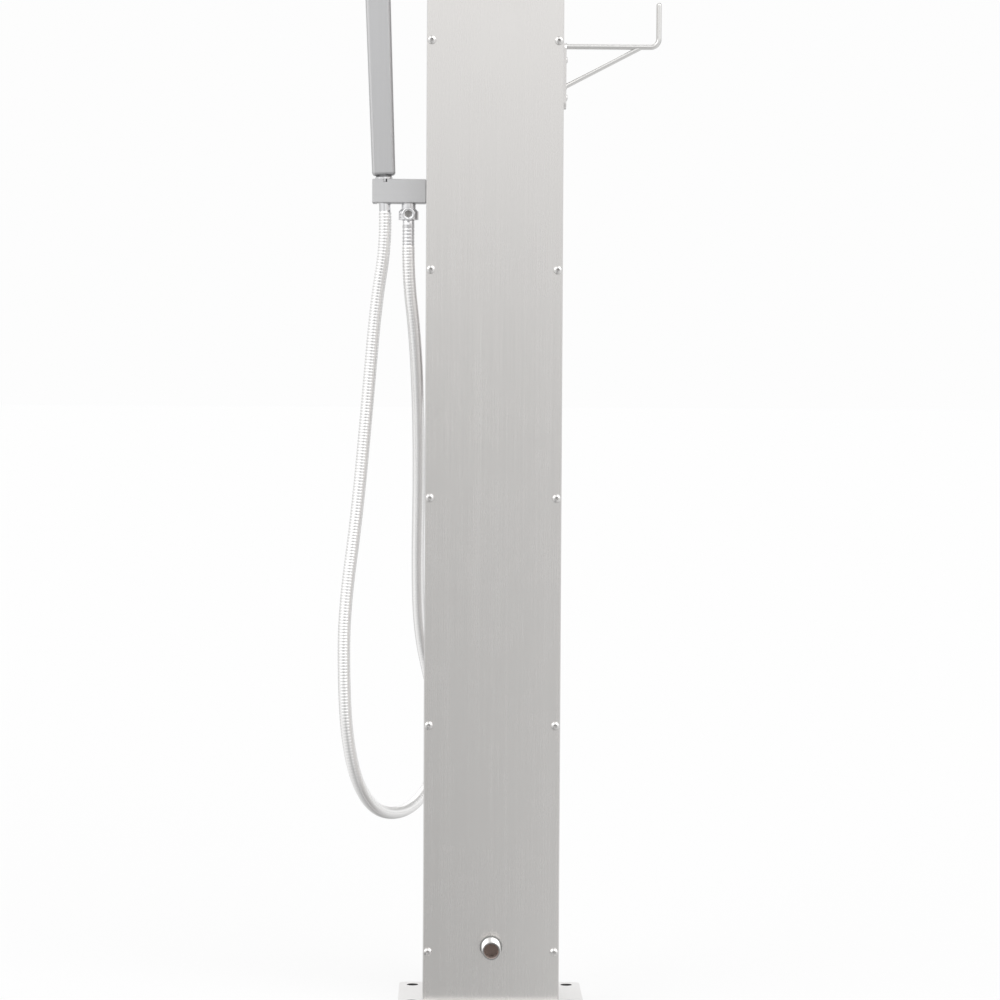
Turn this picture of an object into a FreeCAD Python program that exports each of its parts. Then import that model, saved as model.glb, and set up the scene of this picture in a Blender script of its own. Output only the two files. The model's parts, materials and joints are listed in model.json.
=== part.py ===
"""Outdoor shower post: a folded sheet column on a base plate, with its water ways and fittings.

Millimetres, +Z up. The origin is on the floor, at the centre of the base plate's underside. The front,
with the controls and the overhead shower, faces -Y. The hand shower hangs on the +X side and the towel
hook sits on the -X side. The screwed cover and the water inlet are on the back, +Y.
"""
import FreeCAD, Part
import math
import os

from FreeCAD import Placement, Rotation, Vector

# ---------------------------------------------------------------- driving dimensions

# Column: a U sheet open at the back, closed by a screwed cover.
COLUMN_WIDTH = 150.0
COLUMN_DEPTH = 100.0
COLUMN_LENGTH = 2108.0
COLUMN_SHEET = 1.5
FOLD_RADIUS = 2.5
FLANGE_WIDTH = 15.0
COVER_SHEET = 1.5
COVER_SIDE_GAP = 1.0
COVER_END_GAP = 1.0
CAP_SHEET = 1.5
CAP_SKIRT = 15.0
CAP_CLEARANCE = 0.2

# Cover screws: domed heads with a hexagon socket.
SCREW_PITCH = 250.0
SCREW_END_MARGIN = 54.0
SCREW_EDGE_MARGIN = 5.5
SCREW_RADIUS = 2.5
SCREW_LENGTH = 10.0
SCREW_HEAD_RADIUS = 4.75
SCREW_HEAD_HEIGHT = 2.75
SCREW_HEAD_RIM = 0.5
SCREW_SOCKET_FLATS = 3.0
SCREW_SOCKET_DEPTH = 1.6
THREAD_CLEARANCE = 0.05
HOLE_CLEARANCE = 0.25

# Foot.
BASE_WIDTH = 204.0
BASE_DEPTH = 134.0
BASE_THICKNESS = 6.0
BASE_CORNER_RADIUS = 8.0
ANCHOR_SPACING_X = 174.0
ANCHOR_SPACING_Y = 100.0
ANCHOR_HOLE_RADIUS = 6.5

# Water inlet at the back.
INLET_HEIGHT = 66.0
INLET_REACH = 30.0
INLET_THREAD_RADIUS = 10.475
INLET_THREAD_LENGTH = 27.0
INLET_BARREL_RADIUS = 10.2
INLET_BORE_RADIUS = 8.25
THREAD_END_CHAMFER = 1.0
GROMMET_WALL = 1.4
GROMMET_LIP = 0.8
GROMMET_LIP_THICKNESS = 0.8
GROMMET_CLEARANCE = 0.1

# Pipes inside, all on one line behind the front wall.
PIPE_STANDOFF = 23.5
PIPE_RADIUS = 7.5
PIPE_WALL = 1.0
PIPE_FIT = 0.05
PIPE_SOCKET_DEPTH = 13.0
PIPE_SOCKET_WALL = 3.5
BRANCH_PIPE_RADIUS = 5.0
BRANCH_BEND_RADIUS = 16.0
NUT_HEIGHT = 10.0
NUT_WALL = 3.3
CLIP_HEIGHTS = (350.0, 700.0, 1400.0, 1750.0)
CLIP_WIDTH = 12.0
CLIP_THICKNESS = 2.0
CLIP_FOOT_WIDTH = 34.0

# Elbows screwed to the inside of the front wall.
ELBOW_FOOT_RADIUS = 28.0
ELBOW_FOOT_THICKNESS = 4.0
ELBOW_BOSS_WALL = 4.0
ELBOW_THREAD_DEPTH = 11.0
ELBOW_REACH = 27.0
ELBOW_STUD_OFFSET = 21.5
ELBOW_STUD_RADIUS = 2.5
ELBOW_STUD_LENGTH = 11.0
ELBOW_NUT_FLATS = 8.0
ELBOW_NUT_HEIGHT = 4.0

# Controls on the front.
MAIN_VALVE_HEIGHT = 1010.0
DIVERTER_HEIGHT = 1110.0
VALVE_HALF_HEIGHT = 34.0
MAIN_CARTRIDGE_RADIUS = 12.0
DIVERTER_CARTRIDGE_RADIUS = 9.5
VALVE_WALL = 4.0
VALVE_BACK_REACH = 12.0
VALVE_SHOULDER = 6.0
VALVE_SHOULDER_THICKNESS = 3.0
VALVE_NECK_REACH = 9.0
VALVE_STEM_RADIUS = 4.0
VALVE_STEM_REACH = 26.0
LOCKNUT_THICKNESS = 4.0
LOCKNUT_WALL = 4.0
MAIN_PLATE_SIZE = 64.0
DIVERTER_PLATE_SIZE = 52.0
PLATE_THICKNESS = 9.5
PLATE_SHEET = 2.0
PLATE_CORNER_RADIUS = 6.0
LEVER_HUB_RADIUS = 19.0
LEVER_HUB_LENGTH = 24.0
LEVER_REACH = 78.0
LEVER_WIDTH = 13.0
LEVER_THICKNESS = 9.0
KNOB_RADIUS = 16.0
KNOB_LENGTH = 22.0
KNOB_GRIP_WIDTH = 10.0
KNOB_GRIP_HEIGHT = 7.0
GRUB_RADIUS = 2.5
MOVING_GAP = 0.4
RUNNING_CLEARANCE = 0.05

# Overhead shower.
ARM_DROP = 64.0
ARM_REACH = 320.0
ARM_SIZE = 25.0
ARM_WALL = 1.5
ARM_PLATE_SIZE = 60.0
ARM_PLATE_THICKNESS = 8.0
ARM_SPIGOT_BORE = 7.0
OUTLET_RADIUS = 12.5
OUTLET_LENGTH = 10.0
BALL_RADIUS = 11.0
BALL_NECK_RADIUS = 7.0
BALL_BORE_RADIUS = 4.0
BALL_DROP = 10.5
BALL_FIT = 0.06
RETAINER_WALL = 2.5
RETAINER_HEIGHT = 2.0
COLLAR_RADIUS = 16.0
COLLAR_TOP = 5.5
CUP_DEPTH = 13.0
CUP_FLANGE_RADIUS = 23.0
CUP_FLANGE_THICKNESS = 3.0
HEAD_SIZE = 200.0
HEAD_HEIGHT = 10.0
HEAD_SHEET = 1.5
HEAD_CORNER_RADIUS = 6.0
SPRAY_PLATE_THICKNESS = 2.5
SPRAY_PLATE_GAP = 0.2
HEAD_NOZZLE_COUNT = 8
HEAD_NOZZLE_PITCH = 21.0
HEAD_NOZZLE_RADIUS = 2.2
HEAD_NOZZLE_REACH = 2.0

# Holder block and its water way.
HOLDER_TOP = 912.6
HOLDER_HEIGHT = 26.6
HOLDER_DEPTH = 28.0
HOLDER_REACH = 60.4
HOLDER_CHAMFER = 0.8
HOLDER_INLET_RISE = 13.0
GASKET_THICKNESS = 1.0
GASKET_INSET = 1.0
STUD_RADIUS = 10.475
STUD_BORE_RADIUS = 6.5
STUD_DEPTH = 10.0
STUD_INNER_REACH = 18.5
HOLDER_LOCKNUT_THICKNESS = 6.0
HOLDER_LOCKNUT_WALL = 4.5
BRANCH_OFFSET = 52.0
NOTCH_WIDTH = 3.7
NOTCH_DEPTH = 3.5
SOCKET_OUTSET = 47.5
SOCKET_TILT = 2.1
SLOT_WIDTH = 15.0

# Small stop valve under the block, and the hose's fittings.
OUTLET_OUTSET = 20.0
STOP_NECK_RADIUS = 8.15
STOP_NECK_DROP = 6.5
STOP_NECK_DEPTH = 9.0
STOP_BODY_RADIUS = 11.25
STOP_BODY_HEIGHT = 11.7
STOP_BODY_CHAMFER = 2.5
STOP_BOSS_RADIUS = 7.25
STOP_BOSS_REACH = 15.5
STOP_STEM_RADIUS = 5.4
STOP_STEM_LENGTH = 23.0
STOP_HEX_FLATS = 7.6
STOP_HEX_DEPTH = 5.0
STOP_BORE_RADIUS = 3.5
LOWER_FERRULE_RADIUS = 6.4
LOWER_FERRULE_LENGTH = 28.3
UPPER_FERRULE_RADIUS = 6.6
UPPER_FERRULE_DROP = 8.6
FERRULE_BORE_RADIUS = 4.5
CONE_RIM_RADIUS = 10.4
CONE_RIM_RISE = 2.3
CONE_END_RADIUS = 7.2
CONE_CLEARANCE = 0.35
CONE_BORE_DEPTH = 12.0
WASHER_THICKNESS = 2.0

# Hose: points of its route, chosen by hand. The route starts and ends on the fittings' axes.
HOSE_RADIUS = 7.0
HOSE_GROOVE_DEPTH = 0.9
HOSE_BORE_RADIUS = 5.2
HOSE_RIB_COUNT = 196
HOSE_CREST_SHARE = 0.55
HOSE_SLOPE_SHARE = 0.15
HOSE_ARC_SHARE = 0.45
HOSE_START_RUN = 35.0
HOSE_END_RUN = 35.0
HOSE_POINTS = (
    (91.0, -35.0, 738.0),
    (86.0, -57.0, 650.0),
    (84.0, -77.0, 565.0),
    (84.0, -99.0, 482.0),
    (78.0, -120.0, 405.0),
    (60.0, -142.0, 345.0),
    (53.0, -160.0, 288.0),
    (61.0, -148.0, 232.0),
    (89.0, -113.0, 196.0),
    (125.0, -69.0, 196.0),
    (151.0, -35.0, 228.0),
    (162.0, -20.0, 284.0),
    (168.0, -18.0, 350.0),
    (166.0, -22.0, 430.0),
    (151.0, -29.0, 540.0),
    (142.0, -32.0, 665.0),
    (130.0, -31.0, 775.0),
)

# Hand shower, in the tilted frame of the socket.
HAND_BOTTOM = 4.3
HAND_TOP = 240.0
HAND_BOTTOM_WIDTH = 25.8
HAND_TOP_WIDTH = 28.4
HAND_BOTTOM_DEPTH = 20.0
HAND_TOP_DEPTH = 25.0
HAND_CORNER_RADIUS = 4.0
HAND_END_RADIUS = 3.5
HAND_BORE_RADIUS = 5.0
SPIGOT_RADIUS = 8.8
SPIGOT_DEPTH = 9.5
SPIGOT_BORE_RADIUS = 5.0
HAND_HOLLOW_WIDTH = 17.0
HAND_WALL = 2.2
HAND_END_WALL = 3.0
SPRAY_FACE_WIDTH = 19.0
SPRAY_FACE_LENGTH = 84.0
SPRAY_FACE_THICKNESS = 2.0
SPRAY_FACE_TOP_MARGIN = 8.0
HAND_NOZZLE_ROWS = 12
HAND_NOZZLE_COLUMNS = 3
HAND_NOZZLE_PITCH = 6.5
HAND_NOZZLE_RADIUS = 1.1
HAND_NOZZLE_REACH = 1.0

# Towel hook on the other side.
HOOK_ARM_HEIGHT = 1059.0
HOOK_ROD_RADIUS = 3.0
HOOK_REACH = 109.6
HOOK_UPTURN = 49.0
HOOK_BEND_RADIUS = 9.0
HOOK_PLATE_THICKNESS = 4.0
HOOK_PLATE_WIDTH = 24.0
HOOK_PLATE_ABOVE_ARM = 3.0
HOOK_PLATE_HEIGHT = 72.0
HOOK_PLATE_CORNER_RADIUS = 6.0
HOOK_SCREW_DROPS = (18.0, 59.5)
HOOK_SCREW_LENGTH = 14.0
HOOK_NUT_FLATS = 8.0
HOOK_NUT_HEIGHT = 4.0
BRACE_RADIUS = 2.5
BRACE_DROP = 46.0
BRACE_REACH = 84.0

# ---------------------------------------------------------------- places worked out from them

side = COLUMN_WIDTH / 2
front = -COLUMN_DEPTH / 2
back = COLUMN_DEPTH / 2
inner_side = side - COLUMN_SHEET
inner_front = front + COLUMN_SHEET
shell_back = back - COVER_SHEET
floor_z = BASE_THICKNESS
column_top = floor_z + COLUMN_LENGTH
pipe_y = inner_front + PIPE_STANDOFF
pipe_socket_radius = PIPE_RADIUS + PIPE_SOCKET_WALL
branch_socket_radius = BRANCH_PIPE_RADIUS + PIPE_SOCKET_WALL
waterway_radius = PIPE_RADIUS - PIPE_WALL
branch_waterway_radius = BRANCH_PIPE_RADIUS - PIPE_WALL
arm_z = column_top - ARM_DROP
head_y = front - ARM_REACH
holder_bottom = HOLDER_TOP - HOLDER_HEIGHT
holder_start = side + GASKET_THICKNESS
holder_end = side + HOLDER_REACH
holder_front = pipe_y - HOLDER_DEPTH / 2
holder_back = pipe_y + HOLDER_DEPTH / 2
stud_z = holder_bottom + HOLDER_INLET_RISE
socket_x = side + SOCKET_OUTSET
outlet_x = side + OUTLET_OUTSET
stop_body_top = holder_bottom - STOP_NECK_DROP
stop_body_bottom = stop_body_top - STOP_BODY_HEIGHT
stop_middle = (stop_body_top + stop_body_bottom) / 2
lower_ferrule_end = stop_body_bottom - LOWER_FERRULE_LENGTH

X_AXIS = Vector(1, 0, 0)
Y_AXIS = Vector(0, 1, 0)
Z_AXIS = Vector(0, 0, 1)


# ---------------------------------------------------------------- helpers

def box(x, y, z):
    """A block between two limits on each axis."""
    return Part.makeBox(x[1] - x[0], y[1] - y[0], z[1] - z[0], Vector(x[0], y[0], z[0]))


def rod(start, end, radius):
    """A round bar from one point to another."""
    start, end = Vector(*start), Vector(*end)
    return Part.makeCylinder(radius, (end - start).Length, start, end - start)


def tube(start, end, outer, inner):
    """A round tube from one point to another."""
    return rod(start, end, outer).cut(rod(start, end, inner))


def cone(start, end, start_radius, end_radius):
    """A cone's stump from one point to another."""
    start, end = Vector(*start), Vector(*end)
    return Part.makeCone(start_radius, end_radius, (end - start).Length, start, end - start)


def hexagon(start, end, flats, across=X_AXIS):
    """A six-sided bar, with a corner towards the given direction."""
    start, end = Vector(*start), Vector(*end)
    corner = across * (flats / 2 / math.cos(math.radians(30)))
    turn = [Rotation(end - start, 60.0 * step) for step in range(6)]
    points = [start + step.multVec(corner) for step in turn]
    return Part.Face(Part.makePolygon(points + points[:1])).extrude(end - start)


def rounded_wire(x, y, z, radius):
    """A closed rectangle with round corners, flat at one height."""
    corners = ((x[1], y[1], 0), (x[0], y[1], 90), (x[0], y[0], 180), (x[1], y[0], 270))
    edges = []
    last = None
    for corner_x, corner_y, angle in corners:
        inward = Vector(math.cos(math.radians(angle + 45)), math.sin(math.radians(angle + 45)), 0)
        centre = Vector(corner_x, corner_y, z) - inward * radius * math.sqrt(2)
        start, middle, end = (centre + Rotation(Z_AXIS, angle + turn).multVec(X_AXIS) * radius
                              for turn in (0, 45, 90))
        if last:
            edges.append(Part.LineSegment(last, start).toShape())
        edges.append(Part.Arc(start, middle, end).toShape())
        last = end
    edges.append(Part.LineSegment(last, edges[0].Vertexes[0].Point).toShape())
    return Part.Wire(edges)


def rounded_block(x, y, z, radius):
    """An upright block with round upright edges."""
    return Part.Face(rounded_wire(x, y, z[0], radius)).extrude(Z_AXIS * (z[1] - z[0]))


def facing_front(shape, height):
    """Turn a shape that was made flat, top up, so that its top faces the front at a height."""
    shape.Placement = Placement(Vector(0, front, height), Rotation(X_AXIS, 90))
    return shape


def edges_along(shape, direction):
    """The straight edges of a shape that run one way."""
    return [edge for edge in shape.Edges if isinstance(edge.Curve, Part.Line)
            and abs(abs(edge.tangentAt(edge.FirstParameter).dot(direction)) - 1) < 1e-6]


def domed_screw(seat, outward, length):
    """A domed screw: its head sits at a point, its socket faces outward."""
    top = seat + outward * SCREW_HEAD_HEIGHT
    dome = SCREW_HEAD_HEIGHT - SCREW_HEAD_RIM
    ball_radius = (SCREW_HEAD_RADIUS ** 2 + dome ** 2) / (2 * dome)
    head = rod(seat, top, SCREW_HEAD_RADIUS)
    head = head.common(Part.makeSphere(ball_radius, top - outward * ball_radius))
    head = head.cut(hexagon(top - outward * SCREW_SOCKET_DEPTH, top, SCREW_SOCKET_FLATS, Z_AXIS))
    return head.fuse(rod(seat, seat - outward * length, SCREW_RADIUS)).removeSplitter()


# ---------------------------------------------------------------- column and foot

def cover_screw_places():
    """Places of the cover's screws on the back face, both sides, from the foot up."""
    rows = int((COLUMN_LENGTH - 2 * SCREW_END_MARGIN) / SCREW_PITCH + 1e-6) + 1
    heights = [floor_z + SCREW_END_MARGIN + SCREW_PITCH * row for row in range(rows)]
    screw_x = side - SCREW_EDGE_MARGIN
    return [Vector(x, back, z) for z in heights for x in (-screw_x, screw_x)]


def hook_screw_heights():
    """Heights of the hook plate's two screws."""
    return [hook_plate_top() - drop for drop in HOOK_SCREW_DROPS]


def hook_plate_top():
    """Height of the hook plate's top edge."""
    return HOOK_ARM_HEIGHT + HOOK_PLATE_ABOVE_ARM


def column_shell():
    """The folded U sheet with its two flanges and all its holes."""
    z = (floor_z, column_top)
    outer = rounded_block((-side, side), (front, shell_back), z, FOLD_RADIUS)
    inner = rounded_block((-inner_side, inner_side), (inner_front, shell_back - COLUMN_SHEET), z,
                          FOLD_RADIUS - COLUMN_SHEET)
    opening = side - FLANGE_WIDTH
    shell = outer.cut(inner).cut(box((-opening, opening), (0, back), z))
    holes = [rod(place, place - Y_AXIS * 4 * COLUMN_SHEET, SCREW_RADIUS + THREAD_CLEARANCE)
             for place in cover_screw_places()]
    wall = (front - 1, inner_front + 1)
    for height, radius in ((MAIN_VALVE_HEIGHT, MAIN_VALVE.neck_radius + HOLE_CLEARANCE),
                           (DIVERTER_HEIGHT, DIVERTER.neck_radius + HOLE_CLEARANCE),
                           (arm_z, INLET_THREAD_RADIUS + HOLE_CLEARANCE)):
        holes.append(rod((0, wall[0], height), (0, wall[1], height), radius))
    holes.append(rod((inner_side - 1, pipe_y, stud_z), (side + 1, pipe_y, stud_z),
                     STUD_RADIUS + HOLE_CLEARANCE))
    for height in hook_screw_heights():
        holes.append(rod((-side - 1, 0, height), (1 - inner_side, 0, height),
                         SCREW_RADIUS + HOLE_CLEARANCE))
    return shell.cut(Part.makeCompound(holes))


def rear_cover():
    """The flat cover sheet, screwed on the flanges."""
    edge = side - COVER_SIDE_GAP
    sheet = box((-edge, edge), (shell_back, back), (floor_z + COVER_END_GAP, column_top - COVER_END_GAP))
    holes = [rod(place, place - Y_AXIS * 2 * COVER_SHEET, SCREW_RADIUS + HOLE_CLEARANCE)
             for place in cover_screw_places()]
    hole_radius = INLET_BARREL_RADIUS + GROMMET_WALL
    holes.append(rod((0, shell_back - 1, INLET_HEIGHT), (0, back + 1, INLET_HEIGHT), hole_radius))
    return sheet.cut(Part.makeCompound(holes))


def rear_cover_screws():
    """All the cover's screws."""
    return Part.makeCompound([domed_screw(place, Y_AXIS, SCREW_LENGTH) for place in cover_screw_places()])


def top_cap():
    """The lid: a plate over the column's end, with a skirt inside it."""
    plate = rounded_block((-side, side), (front, back), (column_top, column_top + CAP_SHEET), FOLD_RADIUS)
    skirt_x = inner_side - CAP_CLEARANCE
    skirt_y = (inner_front + CAP_CLEARANCE, shell_back - COLUMN_SHEET - CAP_CLEARANCE)
    z = (column_top - CAP_SKIRT, column_top)
    radius = FOLD_RADIUS
    skirt = rounded_block((-skirt_x, skirt_x), skirt_y, z, radius)
    hollow = rounded_block((CAP_SHEET - skirt_x, skirt_x - CAP_SHEET),
                           (skirt_y[0] + CAP_SHEET, skirt_y[1] - CAP_SHEET), z, radius - CAP_SHEET)
    return plate.fuse(skirt.cut(hollow)).removeSplitter()


def base_plate():
    """The foot's plate with its four anchor holes."""
    plate = rounded_block((-BASE_WIDTH / 2, BASE_WIDTH / 2), (-BASE_DEPTH / 2, BASE_DEPTH / 2),
                          (0, BASE_THICKNESS), BASE_CORNER_RADIUS)
    holes = [rod((x, y, -1), (x, y, BASE_THICKNESS + 1), ANCHOR_HOLE_RADIUS)
             for x in (-ANCHOR_SPACING_X / 2, ANCHOR_SPACING_X / 2)
             for y in (-ANCHOR_SPACING_Y / 2, ANCHOR_SPACING_Y / 2)]
    return plate.cut(Part.makeCompound(holes))


# ---------------------------------------------------------------- inlet, elbows and pipes

def inlet_nipple():
    """The threaded tube out of the back, screwed into the lower elbow."""
    start = elbow_socket_end() - ELBOW_THREAD_DEPTH
    end = back + INLET_REACH
    thread_start = end - INLET_THREAD_LENGTH
    z = INLET_HEIGHT
    barrel = rod((0, start, z), (0, thread_start, z), INLET_BARREL_RADIUS)
    tail = rod((0, start, z), (0, start + ELBOW_THREAD_DEPTH, z), INLET_THREAD_RADIUS)
    thread = rod((0, thread_start, z), (0, end - THREAD_END_CHAMFER, z), INLET_THREAD_RADIUS)
    tip = cone((0, end - THREAD_END_CHAMFER, z), (0, end, z), INLET_THREAD_RADIUS,
               INLET_THREAD_RADIUS - THREAD_END_CHAMFER)
    body = barrel.fuse([tail, thread, tip]).removeSplitter()
    return body.cut(rod((0, start, z), (0, end, z), INLET_BORE_RADIUS))


def inlet_grommet():
    """The rubber ring between the nipple and the cover."""
    z = INLET_HEIGHT
    inner = INLET_BARREL_RADIUS + GROMMET_CLEARANCE
    neck = INLET_BARREL_RADIUS + GROMMET_WALL - GROMMET_CLEARANCE
    lip = INLET_BARREL_RADIUS + GROMMET_WALL + GROMMET_LIP
    ring = tube((0, shell_back, z), (0, back, z), neck, inner)
    outer_lip = tube((0, back, z), (0, back + GROMMET_LIP_THICKNESS, z), lip, inner)
    inner_lip = tube((0, shell_back - GROMMET_LIP_THICKNESS, z), (0, shell_back, z), lip, inner)
    return ring.fuse([outer_lip, inner_lip]).removeSplitter()


def elbow_socket_end():
    """How far back the lower elbow's threaded socket reaches."""
    return pipe_y + ELBOW_REACH


def elbow_body(height, pipe_side):
    """An elbow's foot, boss and pipe socket, before its bores; the socket points up or down."""
    boss_radius = INLET_THREAD_RADIUS + ELBOW_BOSS_WALL
    foot = rod((0, inner_front, height), (0, inner_front + ELBOW_FOOT_THICKNESS, height),
               ELBOW_FOOT_RADIUS)
    end = elbow_socket_end() if pipe_side > 0 else pipe_y + boss_radius
    boss = rod((0, inner_front, height), (0, end, height), boss_radius)
    mouth = height + pipe_side * elbow_rise()
    socket = rod((0, pipe_y, height), (0, pipe_y, mouth), pipe_socket_radius)
    holes = [rod((x, inner_front, height), (x, inner_front + ELBOW_FOOT_THICKNESS, height),
                 ELBOW_STUD_RADIUS + HOLE_CLEARANCE)
             for x in (-ELBOW_STUD_OFFSET, ELBOW_STUD_OFFSET)]
    water = rod((0, pipe_y, height), (0, pipe_y, mouth), waterway_radius)
    seat = rod((0, pipe_y, mouth - pipe_side * PIPE_SOCKET_DEPTH), (0, pipe_y, mouth),
               PIPE_RADIUS + PIPE_FIT)
    return boss.fuse([foot, socket]).removeSplitter().cut(Part.makeCompound(holes)).cut(water).cut(seat)


def elbow_rise():
    """Height of an elbow's pipe mouth above its own axis."""
    return INLET_THREAD_RADIUS + ELBOW_BOSS_WALL + PIPE_SOCKET_DEPTH + 2.0


def inlet_elbow():
    """The lower elbow: water comes in from the back and goes up."""
    z = INLET_HEIGHT
    end = elbow_socket_end()
    body = elbow_body(z, 1)
    body = body.cut(rod((0, pipe_y, z), (0, end, z), waterway_radius))
    return body.cut(rod((0, end - ELBOW_THREAD_DEPTH, z), (0, end, z),
                        INLET_THREAD_RADIUS + THREAD_CLEARANCE))


def top_elbow():
    """The upper elbow: water comes up and goes out to the arm."""
    body = elbow_body(arm_z, -1)
    body = body.cut(rod((0, inner_front, arm_z), (0, pipe_y, arm_z), waterway_radius))
    return body.cut(rod((0, inner_front, arm_z), (0, inner_front + ELBOW_THREAD_DEPTH, arm_z),
                        INLET_THREAD_RADIUS + THREAD_CLEARANCE))


def elbow_fixings():
    """Two welded studs for each elbow, each with its nut."""
    fixings = []
    seat = inner_front + ELBOW_FOOT_THICKNESS
    for z in (INLET_HEIGHT, arm_z):
        for x in (-ELBOW_STUD_OFFSET, ELBOW_STUD_OFFSET):
            stud = rod((x, inner_front, z), (x, inner_front + ELBOW_STUD_LENGTH, z), ELBOW_STUD_RADIUS)
            nut = hexagon((x, seat, z), (x, seat + ELBOW_NUT_HEIGHT, z), ELBOW_NUT_FLATS)
            fixings.append(stud.fuse(nut).removeSplitter())
    return Part.makeCompound(fixings)


def pipe(bottom, top):
    """A straight length of the main pipe."""
    return tube((0, pipe_y, bottom), (0, pipe_y, top), PIPE_RADIUS, PIPE_RADIUS - PIPE_WALL)


def pipe_mouths():
    """Heights of the main pipe's socket mouths and the way that each opens."""
    return [(INLET_HEIGHT + elbow_rise(), 1),
            (MAIN_VALVE_HEIGHT - VALVE_HALF_HEIGHT, -1), (MAIN_VALVE_HEIGHT + VALVE_HALF_HEIGHT, 1),
            (DIVERTER_HEIGHT - VALVE_HALF_HEIGHT, -1), (DIVERTER_HEIGHT + VALVE_HALF_HEIGHT, 1),
            (arm_z - elbow_rise(), -1)]


def pipe_between(first, second):
    """The pipe that fills two facing sockets, counted from the foot up."""
    mouths = pipe_mouths()
    return pipe(mouths[first][0] - PIPE_SOCKET_DEPTH, mouths[second][0] + PIPE_SOCKET_DEPTH)


def pipe_nut(start, end, pipe_radius, across):
    """A compression nut round a pipe."""
    hole = rod(start, end, pipe_radius + PIPE_FIT)
    return hexagon(start, end, 2 * (pipe_radius + NUT_WALL), across).cut(hole)


def compression_nuts():
    """The nuts that close every pipe socket."""
    nuts = [pipe_nut((0, pipe_y, z), (0, pipe_y, z + way * NUT_HEIGHT), PIPE_RADIUS, X_AXIS)
            for z, way in pipe_mouths()]
    mouth = diverter_side_mouth()
    nuts.append(pipe_nut((mouth, pipe_y, DIVERTER_HEIGHT), (mouth + NUT_HEIGHT, pipe_y, DIVERTER_HEIGHT),
                         BRANCH_PIPE_RADIUS, Y_AXIS))
    mouth = branch_elbow_mouth()
    nuts.append(pipe_nut((BRANCH_OFFSET, pipe_y, mouth), (BRANCH_OFFSET, pipe_y, mouth + NUT_HEIGHT),
                         BRANCH_PIPE_RADIUS, X_AXIS))
    return Part.makeCompound(nuts)


def pipe_clips():
    """Saddles that hold the pipes to the inside of the front wall."""
    clips = []
    inner = PIPE_RADIUS + PIPE_FIT
    outer = inner + CLIP_THICKNESS
    for height in CLIP_HEIGHTS:
        z = (height - CLIP_WIDTH / 2, height + CLIP_WIDTH / 2)
        foot = box((-CLIP_FOOT_WIDTH / 2, CLIP_FOOT_WIDTH / 2),
                   (inner_front, inner_front + CLIP_THICKNESS), z)
        web = box((-CLIP_THICKNESS, CLIP_THICKNESS), (inner_front, pipe_y), z)
        ring = rod((0, pipe_y, z[0]), (0, pipe_y, z[1]), outer)
        clip = foot.fuse([web, ring]).removeSplitter()
        clips.append(clip.cut(rod((0, pipe_y, z[0]), (0, pipe_y, z[1]), inner)))
    return Part.makeCompound(clips)


def branch_elbow_mouth():
    """Height of the branch elbow's pipe mouth."""
    return stud_z + STUD_RADIUS + ELBOW_BOSS_WALL + PIPE_SOCKET_DEPTH


def diverter_side_mouth():
    """How far to the side the diverter's branch socket reaches."""
    return DIVERTER.chamber_radius + 9.0


def branch_elbow():
    """The elbow on the holder's stud: water comes down and goes out to the side."""
    mouth = branch_elbow_mouth()
    boss_radius = STUD_RADIUS + ELBOW_BOSS_WALL
    inner_end = inner_side - STUD_INNER_REACH
    nut_face = inner_side - HOLDER_LOCKNUT_THICKNESS - COLUMN_SHEET
    boss = rod((BRANCH_OFFSET - branch_socket_radius, pipe_y, stud_z), (nut_face, pipe_y, stud_z),
               boss_radius)
    socket = rod((BRANCH_OFFSET, pipe_y, stud_z), (BRANCH_OFFSET, pipe_y, mouth), branch_socket_radius)
    body = boss.fuse(socket).removeSplitter()
    cuts = [rod((inner_end, pipe_y, stud_z), (nut_face, pipe_y, stud_z), STUD_RADIUS + THREAD_CLEARANCE),
            rod((BRANCH_OFFSET, pipe_y, stud_z), (nut_face, pipe_y, stud_z), branch_waterway_radius),
            rod((BRANCH_OFFSET, pipe_y, stud_z), (BRANCH_OFFSET, pipe_y, mouth), branch_waterway_radius),
            rod((BRANCH_OFFSET, pipe_y, mouth - PIPE_SOCKET_DEPTH), (BRANCH_OFFSET, pipe_y, mouth),
                BRANCH_PIPE_RADIUS + PIPE_FIT)]
    for cut in cuts:
        body = body.cut(cut)
    return body


def hand_branch_pipe():
    """The thin pipe from the diverter's side down to the branch elbow, with one bend."""
    start = Vector(diverter_side_mouth() - PIPE_SOCKET_DEPTH, pipe_y, DIVERTER_HEIGHT)
    bend_start = Vector(BRANCH_OFFSET - BRANCH_BEND_RADIUS, pipe_y, DIVERTER_HEIGHT)
    centre = bend_start - Z_AXIS * BRANCH_BEND_RADIUS
    middle = centre + Vector(1, 0, 1) * (BRANCH_BEND_RADIUS / math.sqrt(2))
    bend_end = centre + X_AXIS * BRANCH_BEND_RADIUS
    end = Vector(BRANCH_OFFSET, pipe_y, branch_elbow_mouth() - PIPE_SOCKET_DEPTH)
    path = Part.Wire([Part.LineSegment(start, bend_start).toShape(),
                      Part.Arc(bend_start, middle, bend_end).toShape(),
                      Part.LineSegment(bend_end, end).toShape()])
    solids = []
    for radius in (BRANCH_PIPE_RADIUS, branch_waterway_radius):
        ring = Part.Wire(Part.makeCircle(radius, start, X_AXIS))
        solids.append(path.makePipeShell([ring], True, False))
    return solids[0].cut(solids[1])


# ---------------------------------------------------------------- valves on the front

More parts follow.
